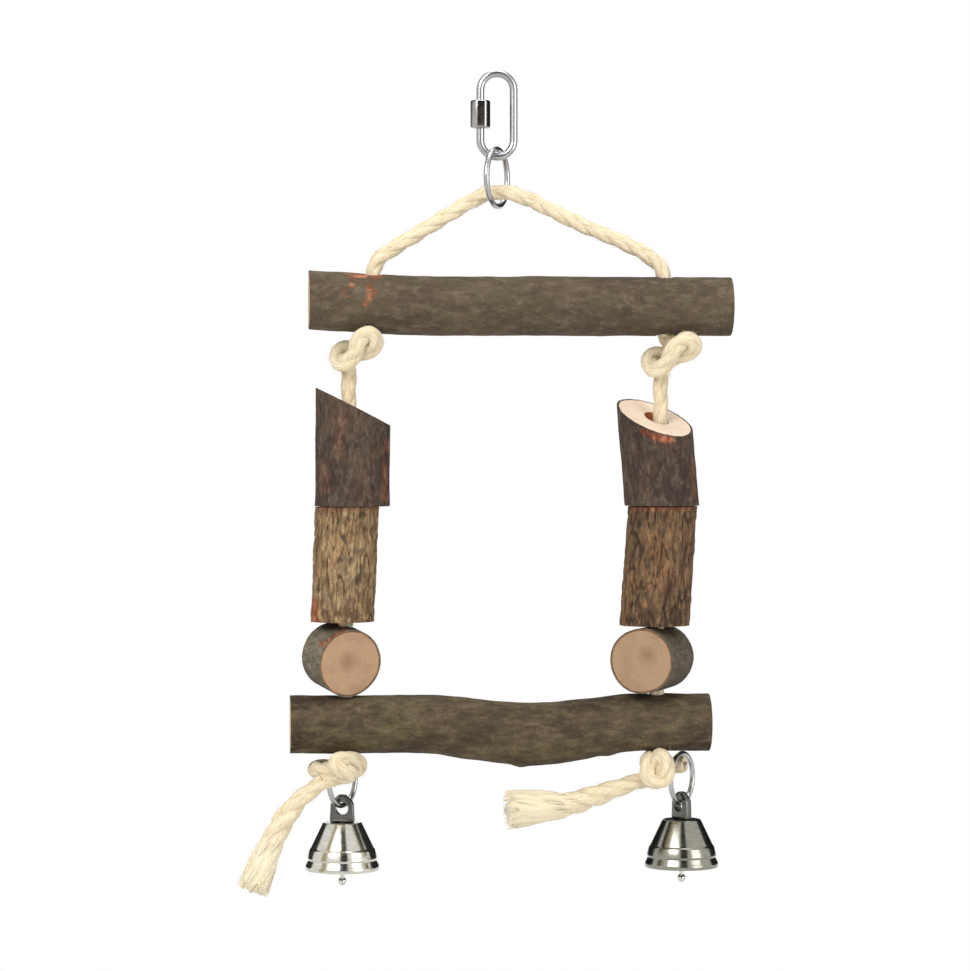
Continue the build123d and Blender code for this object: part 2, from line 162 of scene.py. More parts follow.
def ramp(tree, share, stops):
    """Colours, or greys, against a share from 0 to 1."""
    node = add(tree, "ValToRGB", {"Fac": share})
    elements = node.color_ramp.elements
    while len(elements) < len(stops):
        elements.new(0.5)
    for element, (place, colour) in zip(elements, stops):
        element.position = place
        element.color = colour
    return node.outputs["Color"]


def fade(tree, share, start, end):
    """A grey between two stops. Each stop is a share and the grey that it gets."""
    return ramp(tree, share, [(place, grey(value)) for place, value in (start, end)])


def mixed(tree, share, first, second):
    return add(tree, "Mix", {0: share, 6: first, 7: second}, data_type="RGBA").outputs[2]


def maths(tree, operation, first, second=0.0, clamp=False):
    return add(tree, "Math", {0: first, 1: second}, operation=operation, use_clamp=clamp).outputs[0]


def bumped(tree, height, strength, distance, under=None):
    inputs = {"Height": height, "Strength": strength, "Distance": distance}
    if under is not None:
        inputs["Normal"] = under
    return add(tree, "Bump", inputs).outputs["Normal"]


# %% [markdown]
# The swing hangs before pure white, above a pale floor. A world bright enough to look white would wash
# out the bark, so the floor and the world are white only to the camera and to reflections, and light the
# swing at a plain level.

# %% Floor and world
FLOOR_Z = -0.42
SKY_LEVEL = 0.42


def white_to_camera(tree, lit, glow):
    """Mixes a lit shader with plain white for the camera, reflections and refraction."""
    path = add(tree, "LightPath").outputs
    seen = maths(tree, "MAXIMUM", path["Is Camera Ray"], path["Is Glossy Ray"])
    seen = maths(tree, "MAXIMUM", seen, path["Is Transmission Ray"])
    share = maths(tree, "MULTIPLY", seen, glow)
    white = add(tree, "Emission", {"Color": grey(1.0), "Strength": 1.0}).outputs[0]
    return add(tree, "MixShader", {0: share, 1: lit, 2: white}).outputs[0]


bpy.ops.object.select_all(action="DESELECT")
bpy.ops.mesh.primitive_plane_add(size=12.0, location=(0, 0, FLOOR_Z))
floor = bpy.context.object
floor.name = "floor"
floor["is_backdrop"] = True
floor_paint, tree, shader = new_finish("floor_paint")
plug(tree, shader, {"Base Color": grey(0.8), "Roughness": 0.9})
from_swing = add(tree, "VectorMath", {0: placed(tree)}, operation="LENGTH").outputs["Value"]
floor_glow = add(tree, "MapRange", {0: from_swing, 1: 0.12, 2: 0.5, 3: 0.72, 4: 1.0}).outputs[0]
floor_seen = white_to_camera(tree, shader.outputs[0], floor_glow)
plug(tree, tree.nodes["Material Output"], {"Surface": floor_seen})
floor.data.materials.append(floor_paint)

world = bpy.data.worlds.new("studio")
bpy.context.scene.world = world
world.use_nodes = True
tree = world.node_tree
soft_fill = tree.nodes["Background"]
plug(tree, soft_fill, {"Color": grey(1.0), "Strength": SKY_LEVEL})
sky_seen = white_to_camera(tree, soft_fill.outputs[0], 1.0)
plug(tree, tree.nodes["World Output"], {"Surface": sky_seen})
print("floor at", FLOOR_Z, "m, sky level", SKY_LEVEL)

# %% [markdown]
# A broad key light comes from the upper left, a fill from the right and a soft light from above. Plain
# white all round would leave the metal without edges. Dark cards in front and behind, as a photographer
# sets them, give it something to reflect, and nothing else sees them.

# %% Lamps and cards
card_paint, tree, shader = new_finish("card_black")
plug(tree, shader, {"Base Color": grey(0.012), "Roughness": 0.8})


def softbox(name, place, size, watts):
    bpy.ops.object.light_add(type="AREA", location=place)
    lamp = bpy.context.object
    lamp.name = name
    lamp.data.shape = "RECTANGLE"
    lamp.data.size, lamp.data.size_y = size
    lamp.data.energy = watts
    lamp.rotation_euler = (Vector(place) - VIEW_MIDDLE).to_track_quat("Z", "Y").to_euler()


def dark_card(name, place, width, height):
    """A black card that only reflections see."""
    bpy.ops.mesh.primitive_plane_add(size=1.0)
    card = bpy.context.object
    card.name = name
    facing = (Vector(place) - VIEW_MIDDLE).to_track_quat("Z", "Y").to_matrix().to_4x4()
    card.data.transform(Matrix.Translation(place) @ facing @ Matrix.Diagonal((width, height, 1, 1)))
    card.data.materials.append(card_paint)
    card.visible_camera = False
    card.visible_diffuse = False
    card.visible_shadow = False
    card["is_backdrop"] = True


softbox("key_light", (-0.75, -1.05, 0.65), (0.8, 0.8), 17.0)
softbox("fill_light", (1.0, -0.95, 0.05), (0.7, 1.0), 6.5)
softbox("top_light", (0.1, 0.1, 1.0), (1.0, 0.7), 8.0)
dark_card("card_front", (0.12, -2.6, 0.2), 1.15, 8.0)
dark_card("card_left", (-1.5, 2.1, -0.2), 2.6, 6.0)
dark_card("card_right", (2.13, 1.49, -0.2), 1.9, 6.0)
dark_card("card_back_right", (0.95, 2.4, -0.2), 1.5, 6.0)
print("lamps and cards are set")

# %% [markdown]
# The rope is laid from three strands of plant fibre, about 6 mm thick and 28 mm to a full turn. A plain
# tube can't show that, so each strand is a tube of its own that winds round the rope's middle line. The
# middle line is a NURBS spline with the route's points as its control points, read back as points along
# it.

# %% Rope route
LAY_PITCH = 28.0 * MM


def route_line(points, steps):
    """Points along a smooth spline whose control points are given in millimetres."""
    curve = bpy.data.curves.new("route", "CURVE")
    curve.dimensions = "3D"
    curve.resolution_u = steps
    spline = curve.splines.new("NURBS")
    spline.points.add(len(points) - 1)
    for point, place in zip(spline.points, points):
        point.co = (place[0] * MM, place[1] * MM, place[2] * MM, 1.0)
    spline.order_u = 3
    spline.use_endpoint_u = True
    holder = bpy.data.objects.new("route", curve)
    bpy.context.scene.collection.objects.link(holder)
    bpy.context.view_layer.update()
    mesh = bpy.data.meshes.new_from_object(holder)
    line = [vertex.co.copy() for vertex in mesh.vertices]
    bpy.data.objects.remove(holder)
    bpy.data.curves.remove(curve)
    bpy.data.meshes.remove(mesh)
    return line


# %% [markdown]
# A strand's place round the middle line comes from two directions that are carried along the line. They
# are turned as little as they can be from point to point, so the strands turn only by the lay.


# %% Along a line
def eased(low, high, value):
    """A share from 0 to 1 that starts and stops gently between two values."""
    share = min(max((value - low) / (high - low), 0.0), 1.0)
    return share * share * (3 - 2 * share)


def line_length(line):
    return sum((b - a).length for a, b in zip(line, line[1:]))


def carried_frames(line):
    """Two directions across the line at each point, carried along without twisting."""
    frames = []
    side = None
    for i in range(len(line)):
        ahead = (line[min(i + 1, len(line) - 1)] - line[max(i - 1, 0)]).normalized()
        if side is None:
            start = Vector((0, 1, 0)) if abs(ahead.y) < 0.9 else Vector((1, 0, 0))
            side = start.cross(ahead).normalized()
        side = (side - ahead * side.dot(ahead)).normalized()
        frames.append((ahead, side, ahead.cross(side)))
    return frames


# %% [markdown]
# Each strand is a row of rings that winds round the middle line. A yarn's small ridges are waves in the
# strand's radius. A knot's rope is fuller than a straight one, because its strands open in the bends.

# %% Strands
STRAND_RADIUS = 1.84 * MM
STRAND_OFFSET = 1.2 * MM
STRAND_SIDES = 14


def fullness(bulk, share):
    """How full the rope is at a share of its length. Bulk gives its start, its middle and its end."""
    first, middle, final = bulk
    swollen = first + (middle - first) * eased(0.1, 0.65, share)
    return swollen + (final - swollen) * eased(0.72, 1.0, share)


def strand_rings(line, turn, bulk, lead):
    """Rings of points for three strands, each with its distance along the rope.

    Lead is the stretch before it, whose strands these go on from.
    """
    frames = carried_frames(lead + line)[len(lead):]
    turn += 2 * math.pi * line_length(lead + line[:1]) / LAY_PITCH
    whole = line_length(line)
    strands = [[], [], []]
    run = 0.0
    for i, (place, (ahead, side, up)) in enumerate(zip(line, frames)):
        if i:
            run += (place - line[i - 1]).length
        grown = fullness(bulk, run / whole)
        for k in range(3):
            lay = turn + 2 * math.pi * run / LAY_PITCH
            phase = lay + 2 * math.pi * k / 3
            out = side * math.cos(phase) + up * math.sin(phase)
            over = ahead.cross(out)
            middle = place + out * STRAND_OFFSET * grown
            ring = []
            for j in range(STRAND_SIDES):
                angle = 2 * math.pi * j / STRAND_SIDES
                yarn = 1 + 0.05 * math.sin(5 * angle + 3.2 * lay) + 0.03 * math.sin(9 * angle - 4.5 * lay)
                reach = out * math.cos(angle) + over * math.sin(angle) * 1.07
                ring.append(middle + reach * STRAND_RADIUS * grown * yarn)
            strands[k].append((run, ring))
    return strands


# %% [markdown]
# Strands and loose hairs are both rings of points joined into tubes, so one collector builds them as one
# mesh. It also keeps a map along each tube for the fibre pattern. The edges round an end stay sharp, or
# smooth shading would draw a dark line there.

# %% Fibre mesh
HAIR_SIDES = 5
HAIR_ANGLES = [2 * math.pi * j / HAIR_SIDES for j in range(HAIR_SIDES)]


def hair(points, thickness):
    """A loose fibre as a thin five-sided thread, thinner at its tip."""
    rings = []
    for i, (place, (ahead, side, up)) in enumerate(zip(points, carried_frames(points))):
        width = thickness * (1.0 - 0.6 * i / (len(points) - 1))
        rings.append([place + (side * math.cos(a) + up * math.sin(a)) * width for a in HAIR_ANGLES])
    return rings


class MeshParts:
    """Collects rings of points into one mesh with a fibre map."""

    def __init__(self):
        self.points, self.faces, self.map, self.kinds = [], [], [], []

    def tube(self, rings, runs, twist, repeat=1, kind=0):
        first_face = len(self.faces)
        sides = len(rings[0])
        start = len(self.points)
        for ring in rings:
            self.points.extend(ring)
        for i in range(len(rings) - 1):
            for j in range(sides):
                after = (j + 1) % sides
                low, high = start + i * sides, start + (i + 1) * sides
                self.faces.append((low + j, low + after, high + after, high + j))
                for share, run in ((j, runs[i]), (j + 1, runs[i]), (j + 1, runs[i + 1]), (j, runs[i + 1])):
                    self.map.append((repeat * share / sides + run * twist, run))
        for ring_start, order in ((start, -1), (start + (len(rings) - 1) * sides, 1)):
            self.faces.append(tuple(ring_start + j for j in range(sides))[::order])
            self.map.extend([(0.0, 0.0)] * sides)
        self.kinds.extend([kind] * (len(self.faces) - first_face))

    def finished(self, name, *finishes):
        mesh = bpy.data.meshes.new(name)
        mesh.from_pydata(self.points, [], self.faces)
        layer = mesh.uv_layers.new(name="fibres")
        for slot, place in zip(layer.data, self.map):
            slot.uv = place
        for finish in finishes:
            mesh.materials.append(finish)
        ends = set()
        for face, kind in zip(mesh.polygons, self.kinds):
            face.use_smooth = len(face.vertices) == 4
            face.material_index = kind
            if len(face.vertices) != 4:
                ends.update(face.edge_keys)
        for edge in mesh.edges:
            edge.use_edge_sharp = edge.key in ends
        piece = bpy.data.objects.new(name, mesh)
        bpy.context.scene.collection.objects.link(piece)
        return piece


# %% [markdown]
# A length of rope is three strands and some loose hairs that stand off them. The hairs are what makes
# plant fibre look dry and soft at its outline.

# %% Laid rope
FIBRE_TWIST = 60.0
HAIR_RADIUS = 0.055 * MM


def laid_rope(name, line, turn=0.0, hairs_per_mm=1.2, hair_reach=1.8 * MM, bulk=(1.0, 1.0, 1.0), lead=()):
    """A three-strand rope along a line of points."""
    parts = MeshParts()
    for strand in strand_rings(line, turn, bulk, list(lead)):
        runs = [run + turn * LAY_PITCH / (2 * math.pi) for run, ring in strand]
        parts.tube([ring for run, ring in strand], runs, FIBRE_TWIST)
    frames = carried_frames(line)
    for i in range(int(line_length(line) / MM * hairs_per_mm)):
        k = random.randrange(1, len(line) - 1)
        ahead, side, up = frames[k]
        angle = random.uniform(0, 2 * math.pi)
        out = side * math.cos(angle) + up * math.sin(angle)
        drift = ahead * random.choice((-1, 1)) * random.uniform(1.5, 4.5) * MM
        grown = fullness(bulk, k / len(line))
        root = line[k] + out * (STRAND_OFFSET + 0.8 * STRAND_RADIUS) * grown
        lift = random.uniform(0.2, 1.0) * hair_reach
        bend = out.cross(ahead) * random.uniform(-1, 1) * MM
        points = [root, root + drift * 0.5 + out * lift * 0.55, root + drift + out * lift + bend]
        parts.tube(hair(points, HAIR_RADIUS), [0.0, 0.002, 0.004], 0.0)
    piece = parts.finished(name, rope_fibre)
    print(name, "rope", round(line_length(line) * 1000, 1), "mm", len(piece.data.polygons), "faces")
    return piece


# %% [markdown]
# Sisal fibre is cream with paler and browner hairs that run along each strand. The strand's own map
# carries a noise that is long one way and fine the other, for both the colour and the bump. Hollows
# between the strands darken by themselves, since they are real. The loose fibres at a rope's end are
# painted paler: painted light that stands in for light passing through them and offsets their own shade.

# %% Rope fibre finish
def rope_finish(name, fibre_colours, patch_colour, bump):
    finish, tree, shader = new_finish(name)
    strand_map = add(tree, "UVMap", uv_map="fibres").outputs[0]
    fine = add(tree, "Mapping", {"Vector": strand_map, "Scale": (26.0, 160.0, 1.0)}).outputs[0]
    fibres = mottle(tree, fine, 1.0, detail=3.0, rough=0.6)
    patches = mottle(tree, placed(tree), 190.0, detail=2.0)
    fibre_colour = ramp(tree, fibres, list(zip((0.25, 0.45, 0.62, 0.85), fibre_colours)))
    rope_colour = mixed(tree, maths(tree, "MULTIPLY", patches, 0.5), fibre_colour, patch_colour)
    plug(tree, shader, {
        "Base Color": rope_colour, "Normal": bumped(tree, fibres, bump, 0.25 * MM), "Roughness": 0.82,
        "Sheen Weight": 0.25, "Sheen Roughness": 0.5,
    })
    return finish


rope_fibre = rope_finish("rope_fibre", (
    paint(176, 152, 110), paint(216, 198, 162), paint(235, 222, 194), paint(245, 237, 218),
), paint(229, 212, 176), 1.0)
fray_fibre = rope_finish("fray_fibre", (
    paint(204, 184, 142), paint(227, 212, 178), paint(238, 227, 199), paint(246, 239, 220),
), paint(234, 219, 184), 0.8)
# Painted light: the tip fibres are painted paler than the strands, to make up for the shade that the thin
# fibres cast on each other.
tip_fibre_painted_light = rope_finish("tip_fibre_painted_light", (
    paint(226, 211, 178), paint(237, 226, 200), paint(243, 235, 215), paint(248, 243, 229),
), paint(241, 231, 206), 0.0)
print("rope finishes:", rope_fibre.name, fray_fibre.name, tip_fibre_painted_light.name)

# %% [markdown]
# The yoke leaves a hole of the bar, passes over the hanging ring and goes down the other hole. It carries
# the swing, so it is drawn nearly straight on both sides. Its points repeat the route of the solid.

# %% Rope yoke
LEFT_HOLE_X, RIGHT_HOLE_X = -48.5, 66.0
LEFT_ROPE_X, RIGHT_ROPE_X = -59.4, 62.6
yoke_route = [
    (LEFT_HOLE_X, 0.0, -100.8), (LEFT_HOLE_X, 0.0, -84.0), (-48.3, 0.0, -72.2), (-41.4, 0.0, -67.2),
    (-27.0, 0.0, -58.4), (-12.0, 0.0, -49.2), (-4.0, 0.0, -44.9), (4.0, 0.0, -44.4), (14.0, 0.0, -47.8),
    (30.0, 0.0, -56.0), (46.0, 0.0, -62.4), (58.0, 0.0, -68.0), (65.7, 0.0, -74.4),
    (RIGHT_HOLE_X, 0.0, -86.0), (RIGHT_HOLE_X, 0.0, -100.8),
]
yoke_line = route_line(yoke_route, steps=20)
yoke = laid_rope("yoke_rope", yoke_line)
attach(yoke, "top_bar")
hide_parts("rope_yoke")

# %% [markdown]
# Under the bar each rope end is tied in an overhand knot, drawn tight against the hole. The knot is the
# same laid rope on a route that goes round itself once, so its turns cross as the real ones do.

# %% Upper knots
UPPER_KNOT_BULK = (1.16, 1.16, 0.85)
UPPER_KNOT_TURN = 0.6
left_knot_route = [
    (-48.5, 0.0, -95.0), (-48.4, 1.0, -101.0), (-49.4, 3.5, -105.4), (-54.4, 4.5, -107.4),
    (-59.6, 3.0, -105.0), (-63.2, -1.5, -109.0), (-60.0, -6.0, -113.0), (-55.4, -9.0, -107.4),
    (-54.0, -10.5, -101.6), (-50.2, -11.0, -99.4), (-47.4, -9.0, -103.2), (-50.2, -6.5, -107.0),
    (-55.0, -3.5, -107.8), (-57.8, -1.0, -111.0), (-57.8, 0.0, -115.2),
]
right_knot_route = [
    (66.0, 0.0, -95.0), (66.6, 2.0, -101.0), (70.4, 4.0, -105.0), (67.0, 5.0, -108.6),
    (61.6, 3.0, -107.4), (58.8, -1.5, -111.0), (61.6, -6.0, -115.0), (66.6, -9.0, -109.8),
    (68.6, -10.5, -104.2), (73.6, -11.0, -101.6), (76.8, -9.0, -104.8), (73.0, -6.5, -107.8),
    (67.4, -3.5, -109.8), (64.2, -1.0, -113.0), (64.2, 0.0, -117.0),
]
for side, route in (("left", left_knot_route), ("right", right_knot_route)):
    knot_line = route_line(route, steps=14)
    knot = laid_rope(f"{side}_upper_knot_rope", knot_line, turn=UPPER_KNOT_TURN, bulk=UPPER_KNOT_BULK)
    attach(knot, "top_bar")
    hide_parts(f"upper_{side}_knot")

# %% [markdown]
# Between the knot and the blocks a short bare neck of rope bends both ways as the swing moves. It is made
# as two stretches that meet in the neck's middle.
# The bores are wider than the rope, which leans on their right side as it does in the photograph.

# %% Necks and column ropes
NECK_LEAN = 1.6
NECK_START_Z, NECK_END_Z = -110.5, -131.5
NECK_TOP_Z, NECK_BOTTOM_Z = -119.5, -126.5
NECK_MIDDLE_Z = (NECK_TOP_Z + NECK_BOTTOM_Z) / 2
COLUMN_FOOT_Z = -242.6


def upright_rope(name, top_x, foot_x, top_z, foot_z, hairs_per_mm):
    """A straight rope down a column, its lay in step with the stretches above and below it."""
    route = [(top_x, 0.0, top_z), ((top_x + foot_x) / 2, 0.0, (top_z + foot_z) / 2), (foot_x, 0.0, foot_z)]
    line = route_line(route, steps=int((top_z - foot_z) * 0.7))
    in_step = -2 * math.pi * top_z * MM / LAY_PITCH
    return laid_rope(name, line, turn=in_step, hairs_per_mm=hairs_per_mm)


for side, rope_x in (("left", LEFT_ROPE_X), ("right", RIGHT_ROPE_X)):
    neck_x = rope_x + NECK_LEAN
    upper = upright_rope(f"{side}_neck_upper_rope", neck_x, neck_x, NECK_START_Z, NECK_MIDDLE_Z, 1.4)
    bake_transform(upper)
    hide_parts(f"{side}_neck")
    lower = upright_rope(f"{side}_neck_lower_rope", neck_x, neck_x, NECK_MIDDLE_Z, NECK_END_Z, 1.0)
    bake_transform(lower)
    column = upright_rope(f"{side}_column_laid_rope", neck_x, rope_x, NECK_END_Z, COLUMN_FOOT_Z, 0.2)
    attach(column, f"{side}_column")
    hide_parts(f"{side}_column_rope")

# %% [markdown]
# Under the perch the rope passes through the bell's ring and is tied off. The knots are looser than the
# upper ones. On the right a loop of the same rope is tied round the strand that goes through the ring, so
# it is a piece of its own.

# %% Lower knots
LOWER_KNOT_BULK = (1.1, 1.1, 1.1)
LOWER_KNOT_TURN = 1.1
left_lower_route = [
    (-59.4, 0.0, -254.0), (-59.4, 0.0, -266.0), (-55.6, 3.6, -269.0), (-65.1, 11.1, -269.3),
    (-70.4, 5.5, -269.6), (-71.0, -2.5, -269.2), (-67.4, -8.0, -268.6), (-61.0, -6.5, -270.0),
    (-56.2, -5.5, -270.0), (-53.6, -3.0, -267.4), (-55.6, -8.0, -265.2), (-59.6, -11.5, -264.0),
    (-64.0, -13.0, -264.8), (-61.6, -13.6, -268.2), (-57.2, -11.5, -270.2), (-59.8, -7.0, -271.2),
    (-64.6, -6.5, -271.8), (-68.5, -7.6, -273.5),
]
right_lower_route = [
    (62.6, 0.0, -254.0), (62.6, 0.0, -269.3), (64.2, 3.4, -270.3), (69.9, 10.2, -269.3),
    (74.8, 6.8, -269.3),
]
right_loop_route = [
    (63.2, 0.8, -262.6), (60.6, -2.6, -266.0), (58.2, -6.4, -265.6), (58.2, -8.2, -273.8),
    (65.6, -8.6, -274.4), (65.6, -9.4, -265.4), (62.2, -6.4, -263.8), (62.2, -5.6, -273.4),
    (58.6, -2.0, -273.7),
]
lower_routes = (
    ("left_lower_knot_rope", left_lower_route, "lower_left_knot"),
    ("right_lower_knot_rope", right_lower_route, "lower_right_knot"),
    ("right_lower_loop_rope", right_loop_route, None),
)
lower_lines = {}
for name, route, node in lower_routes:
    lower_lines[name] = route_line(route, steps=14)
    knot = laid_rope(name, lower_lines[name], turn=LOWER_KNOT_TURN, bulk=LOWER_KNOT_BULK)
    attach(knot, "perch")
    if node:
        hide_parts(node)

# %% [markdown]
# The free ends are left long, and their strands go on from those of the knot. Near its end each one opens
# into a brush. Thousands of single hairs would be needed to look dense, so a furrowed body fills the
# brush.

# %% Body of the brush
BRUSH_SIDES = 48
BRUSH_TURN = 2.4
BRUSH_START = 0.5
BRUSH_CORE, BRUSH_RADIUS = 2.3 * MM, 3.1 * MM


def brush_radius(way, flare):
    """How far the loose fibres reach from the middle line. Way goes from 0 at the knot to 1 at the tip."""
    return BRUSH_RADIUS + flare * way ** 1.6


def brush_body(carried, frames, flare):
    """The dense middle of the brush: rings that leave the rope in locks, with furrows between them."""
    last = len(carried) - 1
    rings, runs = [], []
    for k in range(int(BRUSH_START * last), last + 1):
        way = k / last
        closing = 0.6 if k == last else 1.0
        ragged = eased(last - 4, last, k)
        ring = []
        for j in range(BRUSH_SIDES):
            angle = 2 * math.pi * j / BRUSH_SIDES
            lie = angle + BRUSH_TURN * way
            out = frames[k][1] * math.cos(lie) + frames[k][2] * math.sin(lie)
            lock = 0.9 + 0.05 * math.sin(3 * angle + 1.0) + 0.05 * math.sin(7 * angle + 3 * way)
            lock += 0.035 * math.sin(16 * angle + 5 * way)
            loose = eased(0.55, 0.86, way + 0.07 * math.sin(3 * angle + 2.0) + 0.06 * math.sin(7 * angle))
            reach = BRUSH_CORE * (1 - loose) + brush_radius(way, flare) * lock * loose
            uneven = 1.1 * math.sin(5 * angle) + 0.9 * math.sin(9 * angle + 2.0)
            ring.append(carried[k] + out * reach * closing + frames[k][0] * ragged * uneven * MM)
        rings.append(ring)
        runs.append(0.001 * k)
    return rings, runs


# %% [markdown]
# A few hundred loose fibres lie over the body. Each leaves the rope's last stretch at a random spot and
# ends at a length of its own, so the tip has no clean edge.

# %% Frayed tips
FRAY_LENGTH = 12.0 * MM
FRAY_FIBRES, FRAY_STEPS = 420, 6
FIBRE_ROOT = 3.6 * MM
TIP_STEPS = 10


def frayed_tip(name, line, flare):
    """Loose fibres that leave a rope's last stretch, follow it and spread into a brush past its end."""
    parts = MeshParts()
    frames = carried_frames(line)
    ahead = frames[-1][0]
    carried = line + [line[-1] + ahead * FRAY_LENGTH * (step + 1) / TIP_STEPS for step in range(TIP_STEPS)]
    frames = frames + [frames[-1]] * TIP_STEPS
    last = len(carried) - 1
    parts.tube(*brush_body(carried[:-1], frames, flare), 0.0, repeat=5)
    for i in range(FRAY_FIBRES):
        first = random.randrange(int(BRUSH_START * len(line)), len(line) - 2)
        final = last - random.choice((0, 0, 1, 1, 2, 3))
        angle = random.uniform(0, 2 * math.pi)
        share = random.uniform(0.6, 1.0)
        phase = random.uniform(0, 2 * math.pi)
        points = []
        for step in range(FRAY_STEPS + 1):
            k = round(first + (final - first) * step / FRAY_STEPS)
            turn = angle + BRUSH_TURN * k / last
            out = frames[k][1] * math.cos(turn) + frames[k][2] * math.sin(turn)
            root = FIBRE_ROOT * share
            spread = root + (brush_radius(k / last, flare) * share - root) * (step / FRAY_STEPS) ** 0.7
            points.append(carried[k] + out * (spread + 0.3 * MM * math.sin(phase + 2.1 * step)))
        runs = [phase + 0.003 * step for step in range(FRAY_STEPS + 1)]
        # Kind 1 gives these fibres the tip finish, whose paler colour is painted light.
        parts.tube(hair(points, random.uniform(0.12, 0.22) * MM), runs, 0.0, kind=1)
    return parts.finished(name, fray_fibre, tip_fibre_painted_light)


# %% [markdown]
# The left end hangs down beside its bell and the right end lies out to the left. Both are cords that were
# cut, unlike the yoke, which is held at both ends.

# %% Rope tails
TAIL_BULK = (1.1, 1.5, 0.9)
left_tail_route = [
    (-68.5, -7.6, -273.5), (-77.6, -9.9, -279.6), (-83.6, -11.5, -287.6), (-88.0, -13.0, -295.6),
    (-91.2, -13.8, -303.6),
]
right_tail_route = [
    (58.6, -2.0, -273.7), (46.6, -5.0, -277.0), (35.0, -8.5, -280.6), (24.0, -11.0, -283.2),
    (14.4, -12.4, -283.6),
]
for side, route, knot_name, flare in (
    ("left", left_tail_route, "left_lower_knot_rope", 3.4 * MM),
    ("right", right_tail_route, "right_lower_loop_rope", 4.8 * MM),
):
    tail_line = route_line(route, steps=18)
    tail = laid_rope(f"{side}_tail_rope", tail_line, turn=LOWER_KNOT_TURN, hairs_per_mm=1.6,
                     hair_reach=1.5 * MM, bulk=TAIL_BULK, lead=lower_lines[knot_name][:-1])
    fray = frayed_tip(f"{side}_frayed_tip", tail_line, flare)
    for piece, node in ((tail, f"{side}_tail"), (fray, f"{side}_fray")):
        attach(piece, "perch")
        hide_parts(node)

# %% [markdown]
# An operator acts on whatever is selected, in the mode that Blender is in. These helpers pick a piece, or
# faces of it by their place or normal, as one would by hand.


# %% Selecting
def set_mode(mode):
    bpy.ops.object.mode_set(mode=mode)


def pick_only(piece):
    """Selects this piece alone and makes it the active one."""
    bpy.ops.object.select_all(action="DESELECT")
    piece.select_set(True)
    bpy.context.view_layer.objects.active = piece


def pick_faces(piece, wanted):
    """Leaves the piece in edit mode with only the wanted faces selected."""
    pick_only(piece)
    set_mode("EDIT")
    bpy.ops.mesh.select_mode(type="FACE")
    bpy.ops.mesh.select_all(action="DESELECT")
    set_mode("OBJECT")
    for face in piece.data.polygons:
        face.select = wanted(face)
    set_mode("EDIT")


def smooth(piece, degrees):
    """Smooth shading, except across edges that bend by more than an angle."""
    pick_only(piece)
    bpy.ops.object.shade_smooth_by_angle(angle=math.radians(degrees))


# %% [markdown]
# Bars, blocks and logs are cut branches with their bark on. Each starts as a cylinder that is cut into
# rings in edit mode. Its points are then moved by noise that follows the bark of that piece, the ends are
# cut with bisect as a saw would, the cut faces get a rim of bark by inset, and the holes are drilled with
# a boolean.


# %% Branch blanks
def branch_blank(name, length, radius, around, rings):
    """A cylinder along Z about the origin, cut into rings."""
    bpy.ops.object.select_all(action="DESELECT")
    bpy.ops.mesh.primitive_cylinder_add(vertices=around, radius=radius * MM, depth=length * MM)
    blank = bpy.context.object
    blank.name = name
    blank.data.name = name
    set_mode("EDIT")
    bpy.ops.mesh.select_mode(type="EDGE")
    bpy.ops.mesh.select_all(action="DESELECT")
    set_mode("OBJECT")
    points = blank.data.vertices
    for edge in blank.data.edges:
        low, high = (points[i].co.z for i in edge.vertices)
        edge.select = abs(high - low) > length * MM / 2
    set_mode("EDIT")
    bpy.ops.mesh.subdivide(number_cuts=rings)
    set_mode("OBJECT")
    return blank


# %% [markdown]
# The saw is a bisect that drops what lies beyond a plane and closes the cut. The drill is a boolean with
# a cylinder, which leaves a clean edge that an inset could not give on rough bark.

# %% Saw and drill
BIT_SIDES, BIT_LENGTH = 40, 120.0 * MM


def saw(piece, place, normal):
    """Cuts off what lies beyond a plane and closes the cut."""
    pick_only(piece)
    set_mode("EDIT")
    bpy.ops.mesh.select_all(action="SELECT")
    bpy.ops.mesh.bisect(plane_co=place, plane_no=normal, use_fill=True, clear_outer=True)
    set_mode("OBJECT")


def drill(piece, place, axis, radius):
    """Drills a round hole through the piece."""
    bpy.ops.object.select_all(action="DESELECT")
    turn = Vector(axis).to_track_quat("Z", "Y").to_euler()
    bpy.ops.mesh.primitive_cylinder_add(vertices=BIT_SIDES, radius=radius, depth=BIT_LENGTH,
                                        location=place, rotation=turn)
    bit = bpy.context.object
    bpy.context.view_layer.objects.active = piece
    cut = piece.modifiers.new("hole", "BOOLEAN")
    cut.object = bit
    cut.operation = "DIFFERENCE"
    cut.solver = "EXACT"
    bpy.ops.object.modifier_apply(modifier=cut.name)
    bpy.data.objects.remove(bit)


# %% [markdown]
# A piece of wood has one finish for its bark, one for its cuts and one for its holes. The wall of a hole
# is found by its place and its normals. How high each point stands is kept with the mesh, so the bark's
# colours can follow the relief.


# %% Finishes by face
def dress_faces(piece, finishes, choose):
    """Gives each face the finish that choose names."""
    piece.data.materials.clear()
    for finish in finishes:
        piece.data.materials.append(finish)
    for face in piece.data.polygons:
        face.material_index = choose(face)


def line_bore(piece, x, radius, finish):
    """Gives the wall of an upright hole the finish with this number."""
    for face in piece.data.polygons:
        out = Vector((face.center.x - x * MM, face.center.y))
        if out.length < radius * 1.02 and abs(face.normal.z) < 0.3:
            face.material_index = finish


def relief_map(piece, values):
    """Keeps how high each point stands, for the bark's colours."""
    layer = piece.data.attributes.new("relief", "FLOAT", "POINT")
    layer.data.foreach_set("value", values)


def waves(place, size_x, size_y, size_z, seed):
    """Smooth noise, about -1 to 1, with waves of these lengths in millimetres."""
    shares = (place.x / (size_x * MM), place.y / (size_y * MM), place.z / (size_z * MM) + seed)
    return noise.noise(Vector(shares))
